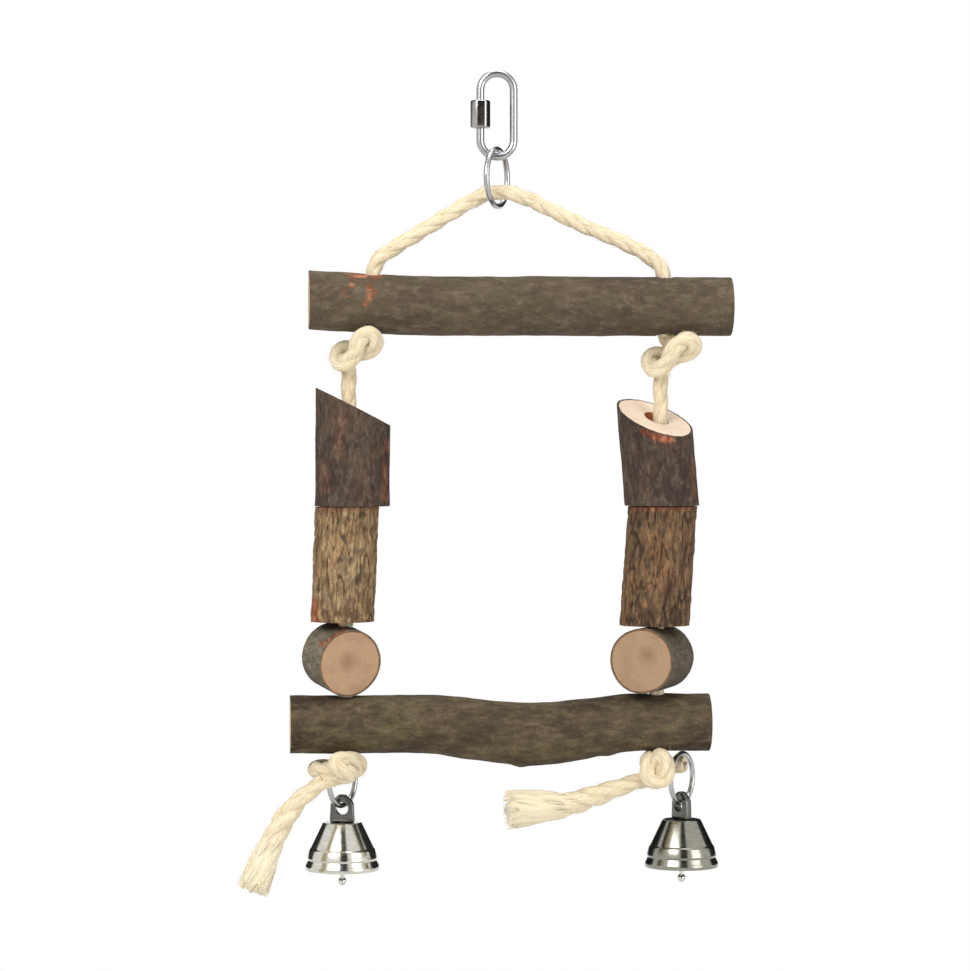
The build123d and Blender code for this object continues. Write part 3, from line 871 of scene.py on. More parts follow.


# %% [markdown]
# Where the drill or the saw tore the bark, its orange and dark red inner side shows. The tears of a piece
# are short lines on its front, given in a list. Every point near one is marked, with a ragged edge, and the
# bark finish reads the mark.


# %% Torn bark
def torn_map(piece, tears):
    """Marks the points near short lines on the front.

    A tear is the X and Z that it starts from, those that it goes to, half its width and its strength.
    """
    marks = []
    for point in piece.data.vertices:
        ragged = noise.noise(point.co / (0.7 * MM)) + 0.9 * noise.noise(point.co / (1.9 * MM))
        mark = 0.0
        for from_x, from_z, to_x, to_z, width, strength in tears:
            start = Vector((from_x, from_z)) * MM
            way = Vector((to_x, to_z)) * MM - start
            spot = Vector((point.co.x, point.co.z)) - start
            share = min(max(spot.dot(way) / way.length_squared, 0.0), 1.0)
            gap = (spot - way * share).length / (width * MM)
            mark = max(mark, strength * (1 - eased(0.3, 1.3, gap + 0.9 * ragged)))
        behind = eased(-2.0, 5.0, point.co.y / MM + 5.0 * ragged)
        marks.append(mark * (1 - behind))
    layer = piece.data.attributes.new("torn", "FLOAT", "POINT")
    layer.data.foreach_set("value", marks)


# %% [markdown]
# Sawn wood shows growth rings round the branch's own axis, a darker heart and fine rays, so the pattern
# is a solid one: rings by the distance from the axis, warped by noise. Each piece gives its axis.


# %% Sawn wood and drilled wood
def sawn_wood(name, centre, turn, pale, ring_dark, heart, heart_size=4.0, ring_width=1.5,
              heart_shift=(0, 0)):
    """Growth rings about the Z axis of a place that is turned back to upright."""
    finish, tree, shader = new_finish(name)
    spot = placed(tree, centre=[v * MM for v in centre], turn=turn)
    aside = (heart_shift[0] * MM, heart_shift[1] * MM, 0.0)
    from_heart = add(tree, "VectorMath", {0: spot, 1: aside}, operation="SUBTRACT").outputs[0]
    warp = mottle(tree, spot, 130.0, detail=3.0)
    flat = add(tree, "VectorMath", {0: from_heart, 1: (1.0, 1.0, 0.0)}, operation="MULTIPLY").outputs[0]
    away = add(tree, "VectorMath", {0: flat}, operation="LENGTH").outputs["Value"]
    away = maths(tree, "ADD", away, maths(tree, "MULTIPLY", warp, 3.2 * MM))
    wave = maths(tree, "SINE", maths(tree, "MULTIPLY", away, 2 * math.pi / (ring_width * MM)))
    ring_share = maths(tree, "MULTIPLY", maths(tree, "POWER", maths(tree, "ADD", wave, 1.0), 3.0), 0.03)
    grain = mottle(tree, spot, 1100.0, detail=3.0, rough=0.7)
    blush = mottle(tree, spot, 120.0, detail=4.0, rough=0.6)
    colour = mixed(tree, ring_share, pale, ring_dark)
    colour = mixed(tree, maths(tree, "MULTIPLY", grain, 0.4), colour, ring_dark)
    colour = mixed(tree, fade(tree, blush, (0.45, 0), (0.75, 0.45)), colour, heart)
    near = maths(tree, "SUBTRACT", 1.0, maths(tree, "DIVIDE", away, heart_size * MM), clamp=True)
    colour = mixed(tree, maths(tree, "MULTIPLY", near, 0.8), colour, heart)
    raised = bumped(tree, maths(tree, "ADD", grain, ring_share), 0.35, 0.2 * MM)
    plug(tree, shader, {"Base Color": colour, "Normal": raised, "Roughness": 0.78})
    return finish


# Painted shade: the walls of the holes are a darker orange-brown than the cut faces, standing in for the
# shade inside the bore.
drilled_wood, tree, shader = new_finish("drilled_wood")
chatter = mottle(tree, placed(tree, scale=(1, 1, 0.3)), 700.0)
bore_shade_colour = ramp(tree, chatter, [(0.3, paint(132, 66, 34)), (0.7, paint(206, 132, 84))])
torn_grain = bumped(tree, chatter, 0.5, 0.3 * MM)
plug(tree, shader, {"Base Color": bore_shade_colour, "Normal": torn_grain, "Roughness": 0.85})

# %% [markdown]
# Bark differs from piece to piece, but each kind is the same recipe: broad patches of two or three
# colours, fine streaks along the branch, dark cracks where the relief is low and scuffed high spots. The
# crack darkening is partly the bark's own colour and partly painted shade. The stretch of the noise gives
# the direction in which the branch grew.


# %% Bark finish
def bark(name, base, dark, light, tint, along, patch=70.0, streak=420.0, crack=0.5, tint_share=0.5,
         stretch=0.22, flecks=0.5):
    """Bark whose streaks run along one axis, with the colour of its cracks, scuffs and patches."""
    finish, tree, shader = new_finish(name)
    drawn_out = tuple(stretch if axis == along else 1.0 for axis in "XYZ")
    spot = placed(tree)
    drawn = placed(tree, scale=drawn_out)
    broad = mottle(tree, drawn, patch, detail=4.0, rough=0.6, distort=0.4)
    streaks = mottle(tree, drawn, streak, detail=5.0, rough=0.68, distort=0.3)
    specks = mottle(tree, spot, 1500.0, detail=2.0, rough=0.7)
    tints = mottle(tree, spot, patch * 0.8, detail=4.0, rough=0.65, distort=0.6)
    relief = add(tree, "Attribute", attribute_name="relief").outputs["Fac"]
    torn = add(tree, "Attribute", attribute_name="torn").outputs["Fac"]
    colour = mixed(tree, fade(tree, broad, (0.36, 0), (0.66, 1)), dark, base)
    colour = mixed(tree, fade(tree, tints, (0.5, 0), (0.72, tint_share)), colour, tint)
    colour = mixed(tree, fade(tree, streaks, (0.5, 0), (0.72, 0.8)), colour, light)
    colour = mixed(tree, fade(tree, streaks, (0.28, 0.8), (0.47, 0)), colour, dark)
    fleck = mottle(tree, drawn, streak * 1.7, detail=3.0, rough=0.6)
    colour = mixed(tree, fade(tree, fleck, (0.3, flecks), (0.46, 0)), colour, paint(44, 34, 27))
    colour = mixed(tree, fade(tree, fleck, (0.56, 0), (0.74, flecks)), colour, light)
    colour = mixed(tree, fade(tree, specks, (0.28, 0.5), (0.5, 0)), colour, dark)
    colour = mixed(tree, fade(tree, specks, (0.62, 0), (0.8, 0.4)), colour, light)
    # Cracks are darkened where the relief is low: partly the bark's own darker colour, partly painted shade
    # in the recesses.
    low = fade(tree, relief, (0.08, 0.9), (crack, 0))
    colour = mixed(tree, low, colour, mixed(tree, 0.5, dark, paint(36, 28, 22)))
    high = fade(tree, relief, (0.66, 0), (1.0, 0.5))
    colour = mixed(tree, high, colour, light)
    inner_side = ramp(tree, streaks, [
        (0.34, paint(70, 32, 26)), (0.5, paint(132, 70, 46)), (0.66, paint(190, 126, 88)),
    ])
    colour = mixed(tree, torn, colour, inner_side)
    rough = bumped(tree, streaks, 0.55, 0.6 * MM)
    plug(tree, shader, {
        "Base Color": colour, "Normal": bumped(tree, specks, 0.4, 0.25 * MM, under=rough),
        "Roughness": fade(tree, specks, (0.3, 0.95), (0.7, 0.72)), "Specular IOR Level": 0.25,
    })
    return finish


# %% [markdown]
# The bar and the perch are cut from the same kind of branch, with thin olive bark that is nearly smooth.
# The bar rises at its left end and the perch sags, so each gives a formula for the height of its axis.
# The bend is in the points themselves and needs no modifier.

# %% Sizes and finishes of the bars
BAR_LEFT, BAR_LENGTH, BAR_RADIUS, BAR_AXIS_Z = -73.3, 165.0, 11.5, -89.0
PERCH_LEFT, PERCH_LENGTH, PERCH_RADIUS, PERCH_AXIS_Z = -80.7, 164.0, 11.3, -251.8
BAR_RISE, BAR_RISE_LENGTH = 2.2, 40.0
PERCH_SAG, PERCH_SAG_X, PERCH_SAG_REACH = 4.2, 14.0, 45.0
bar_bark = bark(
    "bar_bark", paint(94, 81, 64), paint(74, 62, 48), paint(118, 105, 86), paint(86, 80, 58), "X",
    patch=85.0, streak=300.0, tint_share=0.6, stretch=0.55, flecks=0.25,
)
perch_bark = bark(
    "perch_bark", paint(91, 78, 58), paint(56, 44, 33), paint(116, 102, 75), paint(94, 89, 55), "X",
    patch=60.0, streak=300.0, tint_share=0.85, stretch=0.45, flecks=0.42,
)
lying = (0, math.radians(90), 0)
bar_wood = sawn_wood("bar_sawn_wood", (0, 0, BAR_AXIS_Z), lying, paint(232, 205, 164), paint(205, 168, 124),
                     paint(188, 140, 98))
perch_wood = sawn_wood("perch_sawn_wood", (0, 0, PERCH_AXIS_Z), lying, paint(232, 208, 170),
                       paint(205, 170, 128), paint(186, 140, 100))


def bar_axis(x):
    """Height of the top bar's axis, which rises at its left end, and its radius."""
    rise = BAR_RISE * max(0.0, (BAR_LEFT + BAR_RISE_LENGTH - x) / BAR_RISE_LENGTH)
    return BAR_AXIS_Z + rise, BAR_RADIUS


def perch_axis(x):
    """Height of the perch's axis, which sags right of its middle, and its radius."""
    reach = abs(x - PERCH_SAG_X) / PERCH_SAG_REACH
    share = math.cos(reach * math.pi / 2) ** 2 if reach < 1 else 0.0
    return PERCH_AXIS_Z - PERCH_SAG * share, PERCH_RADIUS + share


# %% [markdown]
# A lying branch starts as a blank of radius one. Each point is then moved out to the branch's radius,
# with broad swellings, the humps of old side shoots and fine ridges. How high the ridges stand is kept
# for the bark.

# %% Lying branch
BRANCH_SIDES, BRANCH_RINGS = 112, 168
SAW_SPARE = 4.0


def lying_branch(name, left, length, axis_at, seed, lumps, humps):
    """A branch along X with its bark's swellings, humps and fine ridges, a little too long.

    A hump is its X, the angle that it faces, its size and how far it rises.
    """
    branch = branch_blank(name, length + SAW_SPARE, 1.0, BRANCH_SIDES, BRANCH_RINGS)
    heights = []
    for point in branch.data.vertices:
        x = left + length / 2 + point.co.z / MM
        height, radius = axis_at(x)
        around = Vector((point.co.x, point.co.y, 0.0))
        if around.length > 0:
            around.normalize()
        spot = Vector((x * MM, around.x * radius * MM, around.y * radius * MM))
        swell = lumps * waves(spot, 34, 14, 14, seed) + 0.2 * waves(spot, 9, 6, 6, seed + 5)
        ridge = waves(spot, 5.0, 1.6, 1.6, seed + 9) + 0.6 * waves(spot, 2.4, 1.0, 1.0, seed + 13)
        for hump_x, hump_turn, size, rise in humps:
            turn = math.atan2(around.y, around.x) - math.radians(hump_turn)
            turn = math.atan2(math.sin(turn), math.cos(turn))
            gap = math.hypot(x - hump_x, turn * radius)
            swell += rise * math.exp(-(gap / size) ** 2)
        full = radius + swell + 0.1 * ridge
        reach = point.co.to_2d().length / MM
        point.co = Vector((x, around.x * full * reach, height + around.y * full * reach)) * MM
        heights.append(0.5 + 0.22 * ridge)
    relief_map(branch, heights)
    return branch


# %% [markdown]
# The saw cut of a branch has a dark rim where the bark is. Two insets of the end faces make that rim, so
# it follows the uneven outline. What lies inside it gets the sawn finish.

# %% Branch ends and holes
END_RIM, END_CHAMFER = 0.8 * MM, 0.3 * MM
WOOD_REACH = 10.4 * MM
CORD_HOLE_RADIUS = 3.75 * MM
AT_CUT = 0.05 * MM


def finish_branch(branch, left, length, bark_finish, wood_finish, holes, axis_at):
    """Saws the ends, gives the cuts a rim of bark, drills the holes and assigns the finishes."""
    for x, way in ((left, -1), (left + length, 1)):
        saw(branch, (x * MM, 0, axis_at(x)[0] * MM), (way, 0, 0))
    ends = (left * MM, (left + length) * MM)
    pick_faces(branch, lambda face: min(abs(face.center.x - end) for end in ends) < AT_CUT)
    bpy.ops.mesh.inset(thickness=END_RIM, use_even_offset=False)
    bpy.ops.mesh.inset(thickness=END_CHAMFER, use_even_offset=False)
    bpy.ops.transform.resize(value=(1.0, 0.995, 0.995))
    set_mode("OBJECT")
    cut_faces = {face.index for face in branch.data.polygons if face.select}
    sawn = {}
    for face in branch.data.polygons:
        at_end = min(abs(face.center.x - end) for end in ends) < AT_CUT
        height = axis_at(face.center.x / MM)[0] * MM
        reach = math.hypot(face.center.y, face.center.z - height)
        sawn[face.index] = at_end and (face.index in cut_faces or reach < WOOD_REACH)
    dress_faces(branch, (bark_finish, wood_finish, drilled_wood), lambda face: 1 if sawn[face.index] else 0)
    for hole_x in holes:
        height = axis_at(hole_x)[0] * MM
        drill(branch, (hole_x * MM, 0, height), (0, 0, 1), CORD_HOLE_RADIUS)
    for hole_x in holes:
        line_bore(branch, hole_x, CORD_HOLE_RADIUS, 2)
    smooth(branch, 38)
    print(branch.name, len(branch.data.polygons), "faces")


# %% [markdown]
# The bar is nearly straight and rises a little at its left end. The bark is torn round the hole on the
# left, where the drill came through.

# %% Top bar
top_bar = lying_branch("top_bar_branch", BAR_LEFT, BAR_LENGTH, bar_axis, seed=2.0, lumps=0.3,
                       humps=((72.0, -50.0, 6.0, 0.3), (20.0, 60.0, 9.0, 0.25)))
finish_branch(top_bar, BAR_LEFT, BAR_LENGTH, bar_bark, bar_wood, (LEFT_HOLE_X, RIGHT_HOLE_X), bar_axis)
torn_map(top_bar, (
    (-57.8, -76.0, -57.2, -81.6, 1.0, 0.7), (-51.0, -80.3, -49.5, -84.2, 1.0, 0.9),
    (-49.5, -84.2, -51.6, -88.8, 0.8, 0.8), (-55.0, -77.4, -45.6, -77.4, 1.3, 1.0),
    (-60.5, -84.0, -58.6, -86.0, 0.7, 0.4),
))
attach(top_bar, "top_bar")
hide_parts("top_bar")

# %% [markdown]
# The perch sags right of its middle, and a few humps show where side shoots were cut away. The ropes go
# through it a little left of and right of the bar's holes.

# %% Perch
perch = lying_branch("perch_branch", PERCH_LEFT, PERCH_LENGTH, perch_axis, seed=21.0, lumps=0.4,
                     humps=((9.0, -92.0, 3.0, 0.9), (44.0, -88.0, 2.6, 0.8), (-14.0, -80.0, 8.0, 0.4)))
rope_places = (LEFT_ROPE_X, RIGHT_ROPE_X)
finish_branch(perch, PERCH_LEFT, PERCH_LENGTH, perch_bark, perch_wood, rope_places, perch_axis)
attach(perch, "perch")
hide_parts("perch")

# %% [markdown]
# The blocks on the columns are lengths of two other branches. The upper pair has dark, fairly smooth bark
# with upright cracks, and its top is sawn on a slant. The middle pair has rough bark with deep furrows.
# The relief is real, so that the outline is rough as well.

# %% Bark of the blocks
dark_bark = bark(
    "dark_bark", paint(82, 68, 56), paint(56, 45, 38), paint(110, 95, 82), paint(106, 70, 52), "Z",
    patch=110.0, streak=360.0, tint_share=0.55, stretch=0.45, flecks=0.62,
)
tan_bark = bark(
    "tan_bark", paint(146, 118, 84), paint(96, 74, 52), paint(198, 168, 122), paint(130, 122, 98), "Z",
    patch=120.0, streak=520.0, crack=0.44, tint_share=0.7, stretch=0.3, flecks=0.75,
)
brown_bark = bark(
    "brown_bark", paint(110, 86, 62), paint(68, 51, 38), paint(150, 117, 80), paint(142, 100, 62), "Z",
    patch=120.0, streak=480.0, crack=0.5, tint_share=0.5, stretch=0.3, flecks=0.95,
)
print("bark of the blocks:", dark_bark.name, tan_bark.name, brown_bark.name)


def smooth_cracks(spot, seed):
    """Dark bark: faint upright cracks, small pits and broad swellings."""
    crack = 1 - abs(waves(spot, 4.5, 4.5, 20, seed))
    pits = waves(spot, 1.7, 1.7, 3.2, seed + 4)
    depth = eased(0.93, 1.0, crack)
    lift = 0.35 * waves(spot, 12, 12, 20, seed + 8) + 0.12 * pits - 0.22 * depth
    return lift, 0.6 + 0.22 * pits - 0.4 * depth


def deep_furrows(spot, seed):
    """Rough bark: narrow upright furrows that break up and join, between fibrous ridges."""
    bend = 0.9 * MM * waves(spot, 5, 5, 8, seed + 30)
    spot = spot + Vector((bend, bend, 0))
    furrow = 1 - abs(waves(spot, 2.3, 2.3, 9, seed))
    fine = waves(spot, 1.1, 1.1, 5, seed + 3)
    chips = waves(spot, 2.0, 2.0, 3.0, seed + 6)
    depth = eased(0.78, 1.0, furrow) * (0.6 + 0.5 * waves(spot, 7, 7, 9, seed + 12))
    lift = 0.4 * waves(spot, 11, 11, 16, seed + 9) + 0.3 * chips + 0.2 * fine - 0.85 * depth + 0.1
    return lift, 0.56 + 0.3 * chips + 0.24 * fine - 0.7 * depth


# %% [markdown]
# A block is an upright blank whose points follow the relief of its bark. Its middle line may lean, so it
# goes from the X of its foot to the X of its head.

# %% Block shape
BLOCK_SIDES, RINGS_PER_MM = 170, 1.7


def block_shape(name, foot, head, foot_z, head_z, diameter, relief, seed):
    """An upright length of branch between two centres, a little too long."""
    tall = head_z - foot_z
    blank = branch_blank(name, tall + SAW_SPARE, 1.0, BLOCK_SIDES, int(tall * RINGS_PER_MM))
    heights = []
    for point in blank.data.vertices:
        z = (foot_z + head_z) / 2 + point.co.z / MM
        share = (z - foot_z) / tall
        around = Vector((point.co.x, point.co.y, 0.0))
        reach = around.length / MM
        if reach > 0:
            around.normalize()
        radius = diameter / 2
        spot = Vector((around.x * radius * MM, around.y * radius * MM, z * MM))
        lift, height = relief(spot, seed)
        middle = foot + (head - foot) * share
        out = around * (radius + lift) * reach
        point.co = Vector((middle + out.x, out.y, z)) * MM
        heights.append(min(max(height, 0.0), 1.0))
    relief_map(blank, heights)
    return blank


# %% [markdown]
# The block is then sawn at its foot and on top. A slanted cut is the same saw with a turned plane. The
# rim of bark round the cuts is an inset, as on the bar.

# %% Block cuts
BORE_RADIUS = 4.8 * MM
BLOCK_RIM = 0.9 * MM
CUT_ANGLE = math.radians(27.0)


def finish_block(blank, foot_z, head_z, bark_finish, wood_finish, rope_x, slant=None):
    """Saws a block level at its foot and level or slanted on top, drills it and assigns the finishes."""
    normal = Vector((0, 0, 1))
    place = Vector((rope_x * MM, 0, head_z * MM))
    if slant:
        turn, height = slant
        slope = math.sin(CUT_ANGLE)
        normal = Vector((slope * math.cos(turn), slope * math.sin(turn), math.cos(CUT_ANGLE)))
        place = Vector((rope_x * MM, 0, height * MM))
    saw(blank, place, normal)
    saw(blank, (0, 0, foot_z * MM), (0, 0, -1))

    def sawn(face):
        on_top = abs((face.center - place).dot(normal)) < AT_CUT and face.normal.dot(normal) > 0.9
        return on_top or (abs(face.center.z - foot_z * MM) < AT_CUT and face.normal.z < -0.9)

    pick_faces(blank, sawn)
    bpy.ops.mesh.inset(thickness=BLOCK_RIM, use_even_offset=False)
    set_mode("OBJECT")
    inner = {face.index for face in blank.data.polygons if face.select}
    finishes = (bark_finish, wood_finish, drilled_wood)
    dress_faces(blank, finishes, lambda face: 1 if face.index in inner else 0)
    drill(blank, (rope_x * MM, 0, (foot_z + head_z) / 2 * MM), (0, 0, 1), BORE_RADIUS)
    line_bore(blank, rope_x, BORE_RADIUS, 2)
    smooth(blank, 42)
    print(blank.name, len(blank.data.polygons), "faces")


# %% [markdown]
# The four blocks differ in their sizes, lean and slant, so each has a row of its own. The slanted cuts
# face the viewer differently: the left one is seen edge-on, and the right one shows its pale wood.

# %% Upper blocks
UPPER_DIA = 29.0
UPPER_FOOT_Z = -166.8
cut_drop = UPPER_DIA / 2 * math.tan(CUT_ANGLE)
pale_woods = {}
for side, rope_x, name in (
    ("right", RIGHT_ROPE_X, "upper_sawn_wood"), ("left", LEFT_ROPE_X, "left_upper_sawn_wood"),
):
    pale_woods[side] = sawn_wood(name, (rope_x, 0, 0), (0, 0, 0), paint(242, 224, 202), paint(228, 200, 172),
                                 paint(214, 176, 144))
upper_tears = {
    "left": ((-43.6, -142.0, -44.4, -163.0, 1.6, 0.4), (-61.0, -134.0, -62.6, -146.0, 2.4, 0.16),
             (-68.0, -150.0, -67.0, -160.0, 2.0, 0.14)),
    "right": ((56.0, -138.2, 61.0, -140.4, 1.3, 0.85), (61.0, -140.4, 66.6, -141.0, 1.2, 0.85),
              (75.4, -148.0, 76.0, -163.0, 1.2, 0.32)),
}
upper_blocks = (
    ("left", LEFT_ROPE_X, 47.6, 0.0, 3.0, 3.2, 3.0),
    ("right", RIGHT_ROPE_X, 41.5, math.radians(-56.0), 2.1, -3.5, 40.0),
)
for side, rope_x, tall, turn, foot, head, seed in upper_blocks:
    head_z = UPPER_FOOT_Z + tall + UPPER_DIA
    height = UPPER_FOOT_Z + tall - cut_drop
    piece = block_shape(f"{side}_upper_bark_block", rope_x + foot, rope_x + head, UPPER_FOOT_Z, head_z,
                        UPPER_DIA, smooth_cracks, seed)
    finish_block(piece, UPPER_FOOT_Z, head_z, dark_bark, pale_woods[side], rope_x, slant=(turn, height))
    torn_map(piece, upper_tears[side])
    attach(piece, f"{side}_upper_block")
    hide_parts(f"{side}_upper_block")

# %% [markdown]
# The middle blocks hang below the upper ones, and their foot is where the solid's foot is. The left one
# is paler and narrower than the right one.

# %% Middle blocks
MIDDLE_TOP_Z = -167.2
middle_tears = {
    "left": ((-71.6, -204.4, -70.6, -211.0, 1.7, 0.9), (-69.0, -167.7, -48.0, -167.7, 0.8, 0.45)),
    "right": ((53.0, -167.7, 74.0, -167.7, 0.9, 0.6), (60.0, -180.0, 66.0, -200.0, 3.0, 0.12)),
}
middle_blocks = (
    ("left", LEFT_ROPE_X, 24.5, -1.0, 1.0, tan_bark, 60.0),
    ("right", RIGHT_ROPE_X, 27.0, -0.7, 2.5, brown_bark, 80.0),
)
for side, rope_x, wide, foot, head, bark_finish, seed in middle_blocks:
    low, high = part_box(f"{side}_middle_block")
    foot_z = low.z / MM
    piece = block_shape(f"{side}_middle_bark_block", rope_x + foot, rope_x + head, foot_z, MIDDLE_TOP_Z,
                        wide, deep_furrows, seed)
    finish_block(piece, foot_z, MIDDLE_TOP_Z, bark_finish, pale_woods[side], rope_x)
    torn_map(piece, middle_tears[side])
    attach(piece, f"{side}_middle_block")
    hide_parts(f"{side}_middle_block")

# %% [markdown]
# The logs are short slices that lie on the perch and show their sawn faces to the viewer. The bark is
# thin and smooth. The faces carry the growth rings and a darker heart, and the rope's hole runs across
# the slice.

# %% Log finishes
log_bark = bark(
    "log_bark", paint(121, 114, 96), paint(90, 81, 66), paint(147, 140, 120), paint(106, 90, 68), "Y",
    patch=70.0, streak=520.0, tint_share=0.4,
)
# Painted shade: the right log's bark is the same bark painted darker, for the shade on the right side.
painted_shade_log_bark = bark(
    "log_bark_painted_shade", paint(102, 92, 77), paint(74, 64, 52), paint(125, 115, 97), paint(90, 82, 61), "Y",
    patch=70.0, streak=520.0, tint_share=0.4,
)
inner_bark, tree, shader = new_finish("inner_bark")
fibrous = mottle(tree, placed(tree), 400.0, detail=3.0)
inner_brown = ramp(tree, fibrous, [(0.35, paint(84, 58, 40)), (0.65, paint(132, 98, 66))])
plug(tree, shader, {"Base Color": inner_brown, "Roughness": 0.9})
print("log finishes:", log_bark.name, painted_shade_log_bark.name, inner_bark.name)

# %% [markdown]
# A log is made upright about the origin, where its ends are easy to pick. Each end gets two insets: the
# outer rim is the bark's own edge, and the inner one is the brown layer under it.

# %% Log shape
LOG_SIDES, LOG_RINGS = 128, 30
LOG_RIM, INNER_RIM = 0.35 * MM, 0.5 * MM


def log_shape(name, long, radius, seed):
    """An upright slice about the origin, with the relief of its bark."""
    piece = branch_blank(name, long, radius, LOG_SIDES, LOG_RINGS)
    heights = []
    for point in piece.data.vertices:
        out = Vector((point.co.x, point.co.y, 0))
        fine = waves(point.co, 1.6, 1.6, 3.4, seed + 7)
        lift = 0.25 * waves(point.co, 9, 9, 18, seed) + 0.08 * fine - 0.2
        point.co += out.normalized() * lift * MM if out.length > 0 else Vector()
        heights.append(0.5 + 0.3 * waves(point.co, 1.6, 1.6, 3.4, seed + 7))
    relief_map(piece, heights)
    return piece


def rim_ends(piece, long):
    """Insets both ends twice. Gives the faces inside both rims, and where those of the inner rim start."""
    ends = (-long * MM / 2, long * MM / 2)
    pick_faces(piece, lambda face: min(abs(face.center.z - end) for end in ends) < AT_CUT)
    bpy.ops.mesh.inset(thickness=LOG_RIM, use_even_offset=False)
    set_mode("OBJECT")
    first_rim_face = len(piece.data.polygons)
    set_mode("EDIT")
    bpy.ops.mesh.inset(thickness=INNER_RIM, use_even_offset=False)
    set_mode("OBJECT")
    inner = {face.index for face in piece.data.polygons if face.select}
    return inner, first_rim_face


# %% [markdown]
# The slice is then laid on the perch with one matrix. The inverse of that matrix turns the growth rings
# of its faces to lie with it.

# %% Logs
LOG_BORE_RADIUS = 3.8 * MM
LOG_FLOOR_Z = -239.8
logs = (
    ("left", LEFT_ROPE_X, -1.4, 13.3, 17.0, 22.0, 8.0, (-1.0, 0.6), 0.95, log_bark, 5.0),
    # The right log gets the darker bark, which is painted shade.
    ("right", RIGHT_ROPE_X, -1.6, 12.9, 29.0, -24.0, 0.0, (2.6, 2.4), 0.88, painted_shade_log_bark, 50.0),
)
log_tears = {
    "left": ((-68.4, -220.0, -60.0, -214.5, 1.15, 0.7),),
    "right": ((52.0, -214.6, 62.0, -213.8, 0.8, 0.4),),
}
for side, rope_x, shift, radius, long, turn, pitch, heart_shift, tone, bark_finish, seed in logs:
    piece = log_shape(f"{side}_log", long, radius, seed)
    inner, first_rim_face = rim_ends(piece, long)
    axis_height = radius / math.cos(math.radians(pitch))
    centre = (rope_x + shift, 0.0, LOG_FLOOR_Z + axis_height)
    laid = Matrix.Rotation(math.radians(turn), 4, "Z") @ Matrix.Rotation(math.radians(90 + pitch), 4, "X")
    piece.data.transform(Matrix.Translation([v * MM for v in centre]) @ laid)
    face_wood = sawn_wood(
        f"{side}_log_sawn_wood", centre, laid.inverted().to_euler("XYZ"),
        paint(188 * tone, 153 * tone, 119 * tone), paint(168 * tone, 132 * tone, 99 * tone),
        paint(132 * tone, 91 * tone, 65 * tone), heart_size=6.5, ring_width=1.7, heart_shift=heart_shift,
    )
    dress_faces(piece, (bark_finish, face_wood, drilled_wood, inner_bark),
                lambda face: 1 if face.index in inner else 3 if face.index >= first_rim_face else 0)
    drill(piece, (rope_x * MM, 0, centre[2] * MM), (0, 0, 1), LOG_BORE_RADIUS)
    line_bore(piece, rope_x, LOG_BORE_RADIUS, 2)
    smooth(piece, 40)
    torn_map(piece, log_tears[side])
    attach(piece, f"{side}_log_slice")
    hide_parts(f"{side}_log_slice")
    print(piece.name, len(piece.data.polygons), "faces")

# %% [markdown]
# The quick link, the rings and the clappers are plated metal. Their solids already have the right shape,
# so they stay and get a plated finish: bright, with faint drawing lines and a little unevenness in the
# gloss.


# %% Plated metal
def plated(name, tone, gloss, smudge, lines=(1, 1, 1)):
    finish, tree, shader = new_finish(name)
    spot = placed(tree, scale=lines)
    clouds = mottle(tree, spot, 260.0, detail=3.0)
    lines_fine = mottle(tree, spot, 2400.0, detail=2.0)
    colour = mixed(tree, fade(tree, clouds, (0.35, 0), (0.75, 0.5)), tone, smudge)
    plug(tree, shader, {
        "Base Color": colour, "Metallic": 1.0, "Normal": bumped(tree, lines_fine, 0.008, 0.05 * MM),
        "Roughness": fade(tree, clouds, (0.3, gloss), (0.8, gloss + 0.12)),
    })
    return finish


link_plating = plated("link_plating", paint(186, 186, 188), 0.2, paint(150, 150, 152))
nut_plating = plated("nut_plating", paint(174, 168, 166), 0.12, paint(150, 140, 138))
ring_plating = plated("ring_plating", paint(186, 186, 184), 0.16, paint(140, 140, 136))
bell_plating = plated("bell_plating", paint(216, 214, 204), 0.12, paint(165, 160, 142), lines=(1, 1, 4))
# Painted reflection: the right bell's plating is the bell plating painted darker, standing in for the darker
# reflections on its sides.
dark_reflection_bell_plating = plated("bell_plating_painted_reflection", paint(154, 153, 143), 0.13, paint(128, 124, 108), lines=(1, 1, 4))
hanger_plating = plated("hanger_plating", paint(108, 107, 103), 0.22, paint(92, 90, 84))


def plate_node(node, finish):
    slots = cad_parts[node].data.materials
    slots.clear()
    slots.append(finish)
    print(node, "has", finish.name)


for node in ("quick_link_body", "hanging_ring"):
    plate_node(node, link_plating)
for node in ("left_bell_ring", "right_bell_ring"):
    plate_node(node, ring_plating)
for side in ("left", "right"):
    plate_node(f"{side}_clapper", bell_plating)

# %% [markdown]
# Metal looks like metal when its edges catch the light, so bends are rounded with a small bevel. The
# pieces of a bell are made about the Z axis, where they are easy to measure, and then moved to their bell.

# %% Rounding and placing metal
METAL_BEND = 35
bell_places = {"left": (-60.15, 7.74, math.radians(-10.0)), "right": (73.69, 7.59, math.radians(-60.0))}


def at_bell(piece, side):
    """Moves a piece that was made about the Z axis to its bell."""
    x, y, turn = bell_places[side]
    piece.data.transform(Matrix.Translation((x * MM, y * MM, 0)) @ Matrix.Rotation(turn, 4, "Z"))


def soften(piece, width, segments, bend):
    """Rounds the edges where the surface bends more than an angle."""
    pick_only(piece)
    edge = piece.modifiers.new("round", "BEVEL")
    edge.width = width * MM
    edge.segments = segments
    edge.limit_method = "ANGLE"
    edge.angle_limit = math.radians(bend)
    bpy.ops.object.modifier_apply(modifier=edge.name)
    smooth(piece, METAL_BEND)


# %% [markdown]
# A bell's cup is spun from sheet metal: a flat crown, a sloping wall, a raised band and a flared lip.
# Half of its section is drawn as a line of edges and turned about the bell's axis with spin, which works
# as the lathe does.

